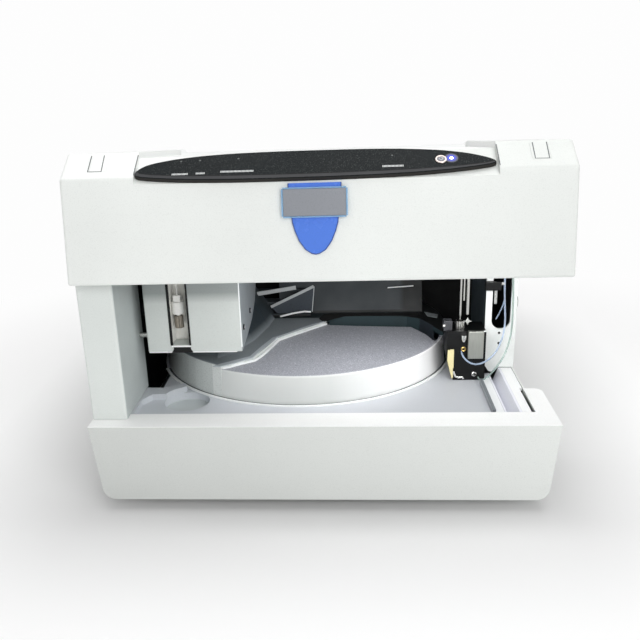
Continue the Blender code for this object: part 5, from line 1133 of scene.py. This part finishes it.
# Carousel trim
BEAD_RADIUS = 0.0013
BEAD_POINTS = (
    (0.1132, 0.0836), (0.1194, 0.0867), (0.1287, 0.0941), (0.143, 0.1043), (0.1493, 0.1187),
    (0.1573, 0.1473), (0.1625, 0.1653), (0.1768, 0.1816), (0.1971, 0.2027), (0.213, 0.219),
)
LEDGE_POINTS = (
    (0.1043, 0.0805), (0.1096, 0.0859), (0.127, 0.0988), (0.138, 0.1072), (0.1469, 0.1372),
    (0.1559, 0.1636), (0.1701, 0.1778), (0.1847, 0.1952), (0.197, 0.2074), (0.2098, 0.218), (0.2107, 0.216),
    (0.1957, 0.2047), (0.1769, 0.1832), (0.1626, 0.1667), (0.1588, 0.1593), (0.1488, 0.1286),
    (0.1409, 0.1027), (0.1223, 0.0869), (0.1121, 0.0796),
)
LEDGE_LEVEL = (0.1046, 0.1054)
SLOT_WALL = 0.0018
SLOT_WALL_LEVEL = (0.088, 0.1049)
MOUTH_LEVEL = (0.1051, 0.1054)
MOUTH_POINTS = (
    (0.2042, 0.2288), (0.2078, 0.2189), (0.2137, 0.219), (0.2204, 0.226), (0.2342, 0.236), (0.31, 0.236),
    (0.3211, 0.2331), (0.3201, 0.247), (0.2342, 0.2475), (0.2179, 0.248), (0.209, 0.2442),
)
DUCT_Y = 0.239
DUCT_PLATE = ((0.1473, 0.1171), (0.1984, 0.1414), (0.1958, 0.1108), (0.159, 0.1042))
DUCT_EDGES = (
    # Pale strips are painted light on the rib faces, bright strips painted highlights on their edges
    ("pale_edge", ((0.132, 0.1333), (0.1776, 0.1403)), 0.0023, 0.239),
    ("pale_edge", ((0.1473, 0.1171), (0.1984, 0.1414)), 0.0016, 0.239),
    ("bright_edge", ((0.1592, 0.1096), (0.1742, 0.1133), (0.1877, 0.1154), (0.195, 0.1148)), 0.0009, 0.225),
    ("pale_edge", ((0.1989, 0.1411), (0.1958, 0.1108)), 0.0005, 0.239),
    ("bright_edge", ((0.2844, 0.1351), (0.3143, 0.1369)), 0.0006, 0.25),
)
FOOT_LINE_RADII = (0.1601, 0.1617)
FOOT_RING_RADII = (0.1624, 0.1655)
FOOT_LEVEL = 0.0724
FOOT_RISE = 0.0007
FOOT_ARC = (-158.0, 12.0, 90)
BRACKET_LEVEL = (0.1049, 0.1058)
RIM_BRACKET = ((0.3271, 0.2479), (0.3291, 0.232), (0.3397, 0.2239), (0.3419, 0.2365))
BACK_PANEL = (
    (0.0045, 0.075), (0.048, 0.075), (0.048, 0.1065), (0.331, 0.1065), (0.331, 0.075), (0.404, 0.075),
    (0.404, 0.26), (0.0045, 0.26),
)
BACK_PANEL_Y = 0.303
TRAY_CORNER = ((0.046, 0.1059), (0.046, 0.1592), (0.064, 0.13), (0.06, 0.108))


def upright(y):
    """Matrix of a plane square to Y: local X across, local Y up, local Z toward the front."""
    return slope_matrix((y, 0.0), (y, 1.0))


def band_shape(radii, low, high):
    """Part of a flat ring about the carousel centre."""
    near, far = [arc(CAROUSEL, radius, *FOOT_ARC) for radius in radii]
    return prism_shape(near + far[::-1], low, high, PLAN)


def dress_carousel():
    # Painted highlight: a bright bead along the step's edge
    bead = [(x, y, COVER_TOP + BEAD_RADIUS / 3) for x, y in BEAD_POINTS]
    tube_piece("step_bead", bead, BEAD_RADIUS, "bright_edge", smooth=False)
    add_piece("step_ledge", prism_shape(LEDGE_POINTS, *LEDGE_LEVEL, PLAN), "ledge")
    wall = [(x, y + SLOT_WALL) for x, y in SLOT_REAR_POINTS]
    add_piece("slot_wall", strip_shape(wall, SLOT_WALL / 2, *SLOT_WALL_LEVEL, PLAN), "slate")
    # Painted shadow: a near black plate in the gap behind the slot
    add_piece("slot_mouth", prism_shape(MOUTH_POINTS, *MOUTH_LEVEL, PLAN), "painted_shade")
    # Painted shade in the crease at the wall's foot, then a painted highlight ring beyond it
    line = band_shape(FOOT_LINE_RADII, FOOT_LEVEL - FOOT_RISE, FOOT_LEVEL)
    add_piece("cover_foot_line", line, "dark_line")
    foot = band_shape(FOOT_RING_RADII, FOOT_LEVEL - FOOT_RISE, FOOT_LEVEL + FOOT_RISE)
    add_piece("cover_foot_ring", foot, "bright_edge", bevel=FOOT_RISE / 2)
    add_piece("duct_plate", prism_shape(DUCT_PLATE, -SHEET, 0.0, upright(DUCT_Y)), "slate")
    for index, (kind, points, half, y) in enumerate(DUCT_EDGES):
        edge = strip_shape(points, half, -GAP, GAP * 2, upright(y))
        add_piece(f"duct_edge_{index}", edge, kind)
    # Painted shade: a near black sheet on the bay's back wall
    add_piece("bay_back", prism_shape(BACK_PANEL, 0.0, GAP * 2, upright(BACK_PANEL_Y)), "painted_shade")
    bracket = prism_shape(RIM_BRACKET, *BRACKET_LEVEL, PLAN)
    add_piece("rim_bracket", bracket, "bracket", bevel=GAP)
    add_screw(*SLOT_SCREW)
    corner = prism_shape(TRAY_CORNER, FOOT_LEVEL - FOOT_RISE, FOOT_LEVEL, PLAN)
    add_piece("tray_corner", corner, "tray")


# Syringe unit trim
BOX_FRONT_Y = 0.07
SYRINGE_BOXES = (
    # Painted shadow: near black strips at the slot's sides
    ("slot_edge_shadow_0", "painted_shade", 0.0, (0.0666, 0.0697, 0.1314), (0.0686, 0.0725, 0.21)),
    ("slot_edge_shadow_1", "painted_shade", 0.0, (0.085, 0.0697, 0.1314), (0.0868, 0.0725, 0.21)),
    ("slot_liner", "beige", 0.0, (0.0675, 0.0726, 0.1316), (0.0682, 0.0895, 0.256)),
    # The slot lip, box lips and box corner are painted highlights on the edges
    ("slot_lip", "bright_edge", GAP, (0.0675, 0.0696, 0.1296), (0.086, 0.072, 0.1313)),
    ("box_lip_0", "bright_edge", 0.0, (0.045, 0.0697, 0.124), (0.0676, 0.0703, 0.125)),
    ("box_lip_1", "bright_edge", 0.0, (0.0881, 0.0697, 0.124), (0.1312, 0.0703, 0.125)),
    ("box_corner", "bright_edge", GAP / 2, (0.1357, 0.0698, 0.129), (0.1368, 0.0704, 0.2105)),
)
NOTCH_LEVEL = (-0.0003, 0.00045)
SLOT_NOTCH = (
    (0.0674, 0.124), (0.0695, 0.1277), (0.0695, 0.1296), (0.0863, 0.1296), (0.0863, 0.1275),
    (0.0883, 0.124),
)


def dress_syringe():
    for screw in SIDE_SCREWS:
        add_screw(*screw)
    add_boxes(SYRINGE_BOXES)
    # Painted shade: a near black notch plate under the slot
    add_piece("slot_notch", prism_shape(SLOT_NOTCH, *NOTCH_LEVEL, upright(BOX_FRONT_Y)), "painted_shade")


# Column trim: dark dots of painted shade where the face has holes, a side branch of the tubing, bright
# painted glints
COLUMN_DOTS = ((0.3933, 0.138, 0.1164), (0.3934, 0.138, 0.1052))
DOT_PROFILE = ((0.0, 0.0), (0.0013, 0.0), (0.0013, GAP), (0.0, GAP))
DOT_STEPS = 20
BRANCH_POINTS = (
    (0.3968, 0.1395, 0.15), (0.3964, 0.1395, 0.1462), (0.3937, 0.1395, 0.1381), (0.3895, 0.1395, 0.1307),
)
BRANCH_RADIUS = 0.0006
COLUMN_BOXES = (
    ("column_glint_0", "pale_metal", 0.0, (0.389, 0.15, 0.144), (0.3918, 0.1506, 0.158)),
    ("column_glint_1", "pale_metal", 0.0, (0.38, 0.133, 0.1705), (0.387, 0.1336, 0.1722)),
    ("column_glint_2", "pale_metal", 0.0, (0.3925, 0.133, 0.169), (0.396, 0.1336, 0.1715)),
)


def dress_column():
    for index, place in enumerate(COLUMN_DOTS):
        dot = turned_shape(DOT_PROFILE, DOT_STEPS, facing(place, TOWARD_FRONT))
        add_piece(f"column_dot_{index}", dot, "painted_shade")
    tube_piece("tube_branch", BRANCH_POINTS, BRANCH_RADIUS, "tube_blue")
    add_boxes(COLUMN_BOXES)


# Needle tower trim: turned fittings, a clamp on the guide rods, plates and brackets
EYELET_PLACE = (0.3548, 0.119, 0.1062)
EYELET = ((0.0011, 0.0), (0.0026, 0.0), (0.0026, 0.001), (0.002, 0.0016), (0.0012, 0.0012), (0.0011, 0.0))
FERRULE_PLACE = (0.352, 0.13, 0.0)
FERRULE = (
    (0.0014, 0.125), (0.002, 0.125), (0.003, 0.1262), (0.0036, 0.129), (0.0036, 0.13), (0.0014, 0.13),
    (0.0014, 0.125),
)
CONE_PLACE = (0.3545, 0.1165, 0.0)
CONE = ((0.0, 0.115), (0.0016, 0.115), (0.0026, 0.118), (0.003, 0.122), (0.0, 0.1222))
CLAMP_CENTRE = (0.3588, 0.134)
CLAMP_REACHES = (0.0044, 0.0021)
CLAMP_CORNERS = 16
CLAMP_SPACING = 4
CLAMP_THICK = 0.0012
CLAMP_Y = 0.125
TOWER_BOXES = (
    ("valve_edge", "bright_edge", 0.0, (0.359, 0.116, 0.1252), (0.3765, 0.1175, 0.126)),
    ("tower_sensor", "sensor", GAP * 2, (0.335, 0.123, 0.124), (0.3436, 0.133, 0.1347)),
)
EYE_PLACE = (0.3352, 0.123, 0.13)
EYE = ((0.0, 0.0), (0.0013, 0.0), (0.001, 0.0006), (0.0, 0.0008))
HOOK = ((0.345, 0.082), (0.3475, 0.0765), (0.351, 0.0752), (0.3545, 0.0758), (0.3556, 0.0735))
HOOK_HALF = 0.001
HOOK_THICK = 0.0014
HOOK_Y = 0.1188
CHEEK = ((0.3389, 0.106), (0.3436, 0.106), (0.3449, 0.0761), (0.3434, 0.075), (0.3385, 0.0947))
CHEEK_Y = 0.117


def clamp_outline():
    """Star with four long corners."""
    tips, roots = [ring(CLAMP_CENTRE, reach, CLAMP_CORNERS) for reach in CLAMP_REACHES]
    return [roots[index] if index % CLAMP_SPACING else tips[index] for index in range(CLAMP_CORNERS)]


def dress_tower():
    add_screw(*TOWER_SCREW)
    eyelet = turned_shape(EYELET, TURN_STEPS, facing(EYELET_PLACE, TOWARD_FRONT))
    add_piece("brass_eyelet", eyelet, "brass")
    ferrule = turned_shape(FERRULE, TURN_STEPS, Matrix.Translation(at(*FERRULE_PLACE)))
    add_piece("port_ferrule", ferrule, "chrome")
    cone = turned_shape(CONE, TURN_STEPS, Matrix.Translation(at(*CONE_PLACE)))
    add_piece("tower_cone", cone, "chrome")
    clamp = prism_shape(clamp_outline(), 0.0, CLAMP_THICK, upright(CLAMP_Y))
    add_piece("rod_clamp", clamp, "pale_metal", bevel=GAP)
    add_boxes(TOWER_BOXES)
    eye = turned_shape(EYE, DOT_STEPS, facing(EYE_PLACE, TOWARD_FRONT))
    add_piece("sensor_lens", eye, "white")
    hook = strip_shape(HOOK, HOOK_HALF, 0.0, HOOK_THICK, upright(HOOK_Y))
    add_piece("tower_bracket", hook, "chrome", bevel=GAP)
    add_piece("cream_cheek", prism_shape(CHEEK, 0.0, GAP * 2, upright(CHEEK_Y)), "cream")


def main():
    make_camera()
    make_stage()
    make_lights()
    make_sky()
    make_paints()
    paint_nodes(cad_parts)
    dress_hood()
    dress_top()
    dress_button()
    dress_badge()
    dress_carousel()
    dress_syringe()
    dress_column()
    dress_tower()
    scene = bpy.context.scene
    scene.view_settings.view_transform = "Standard"


main()
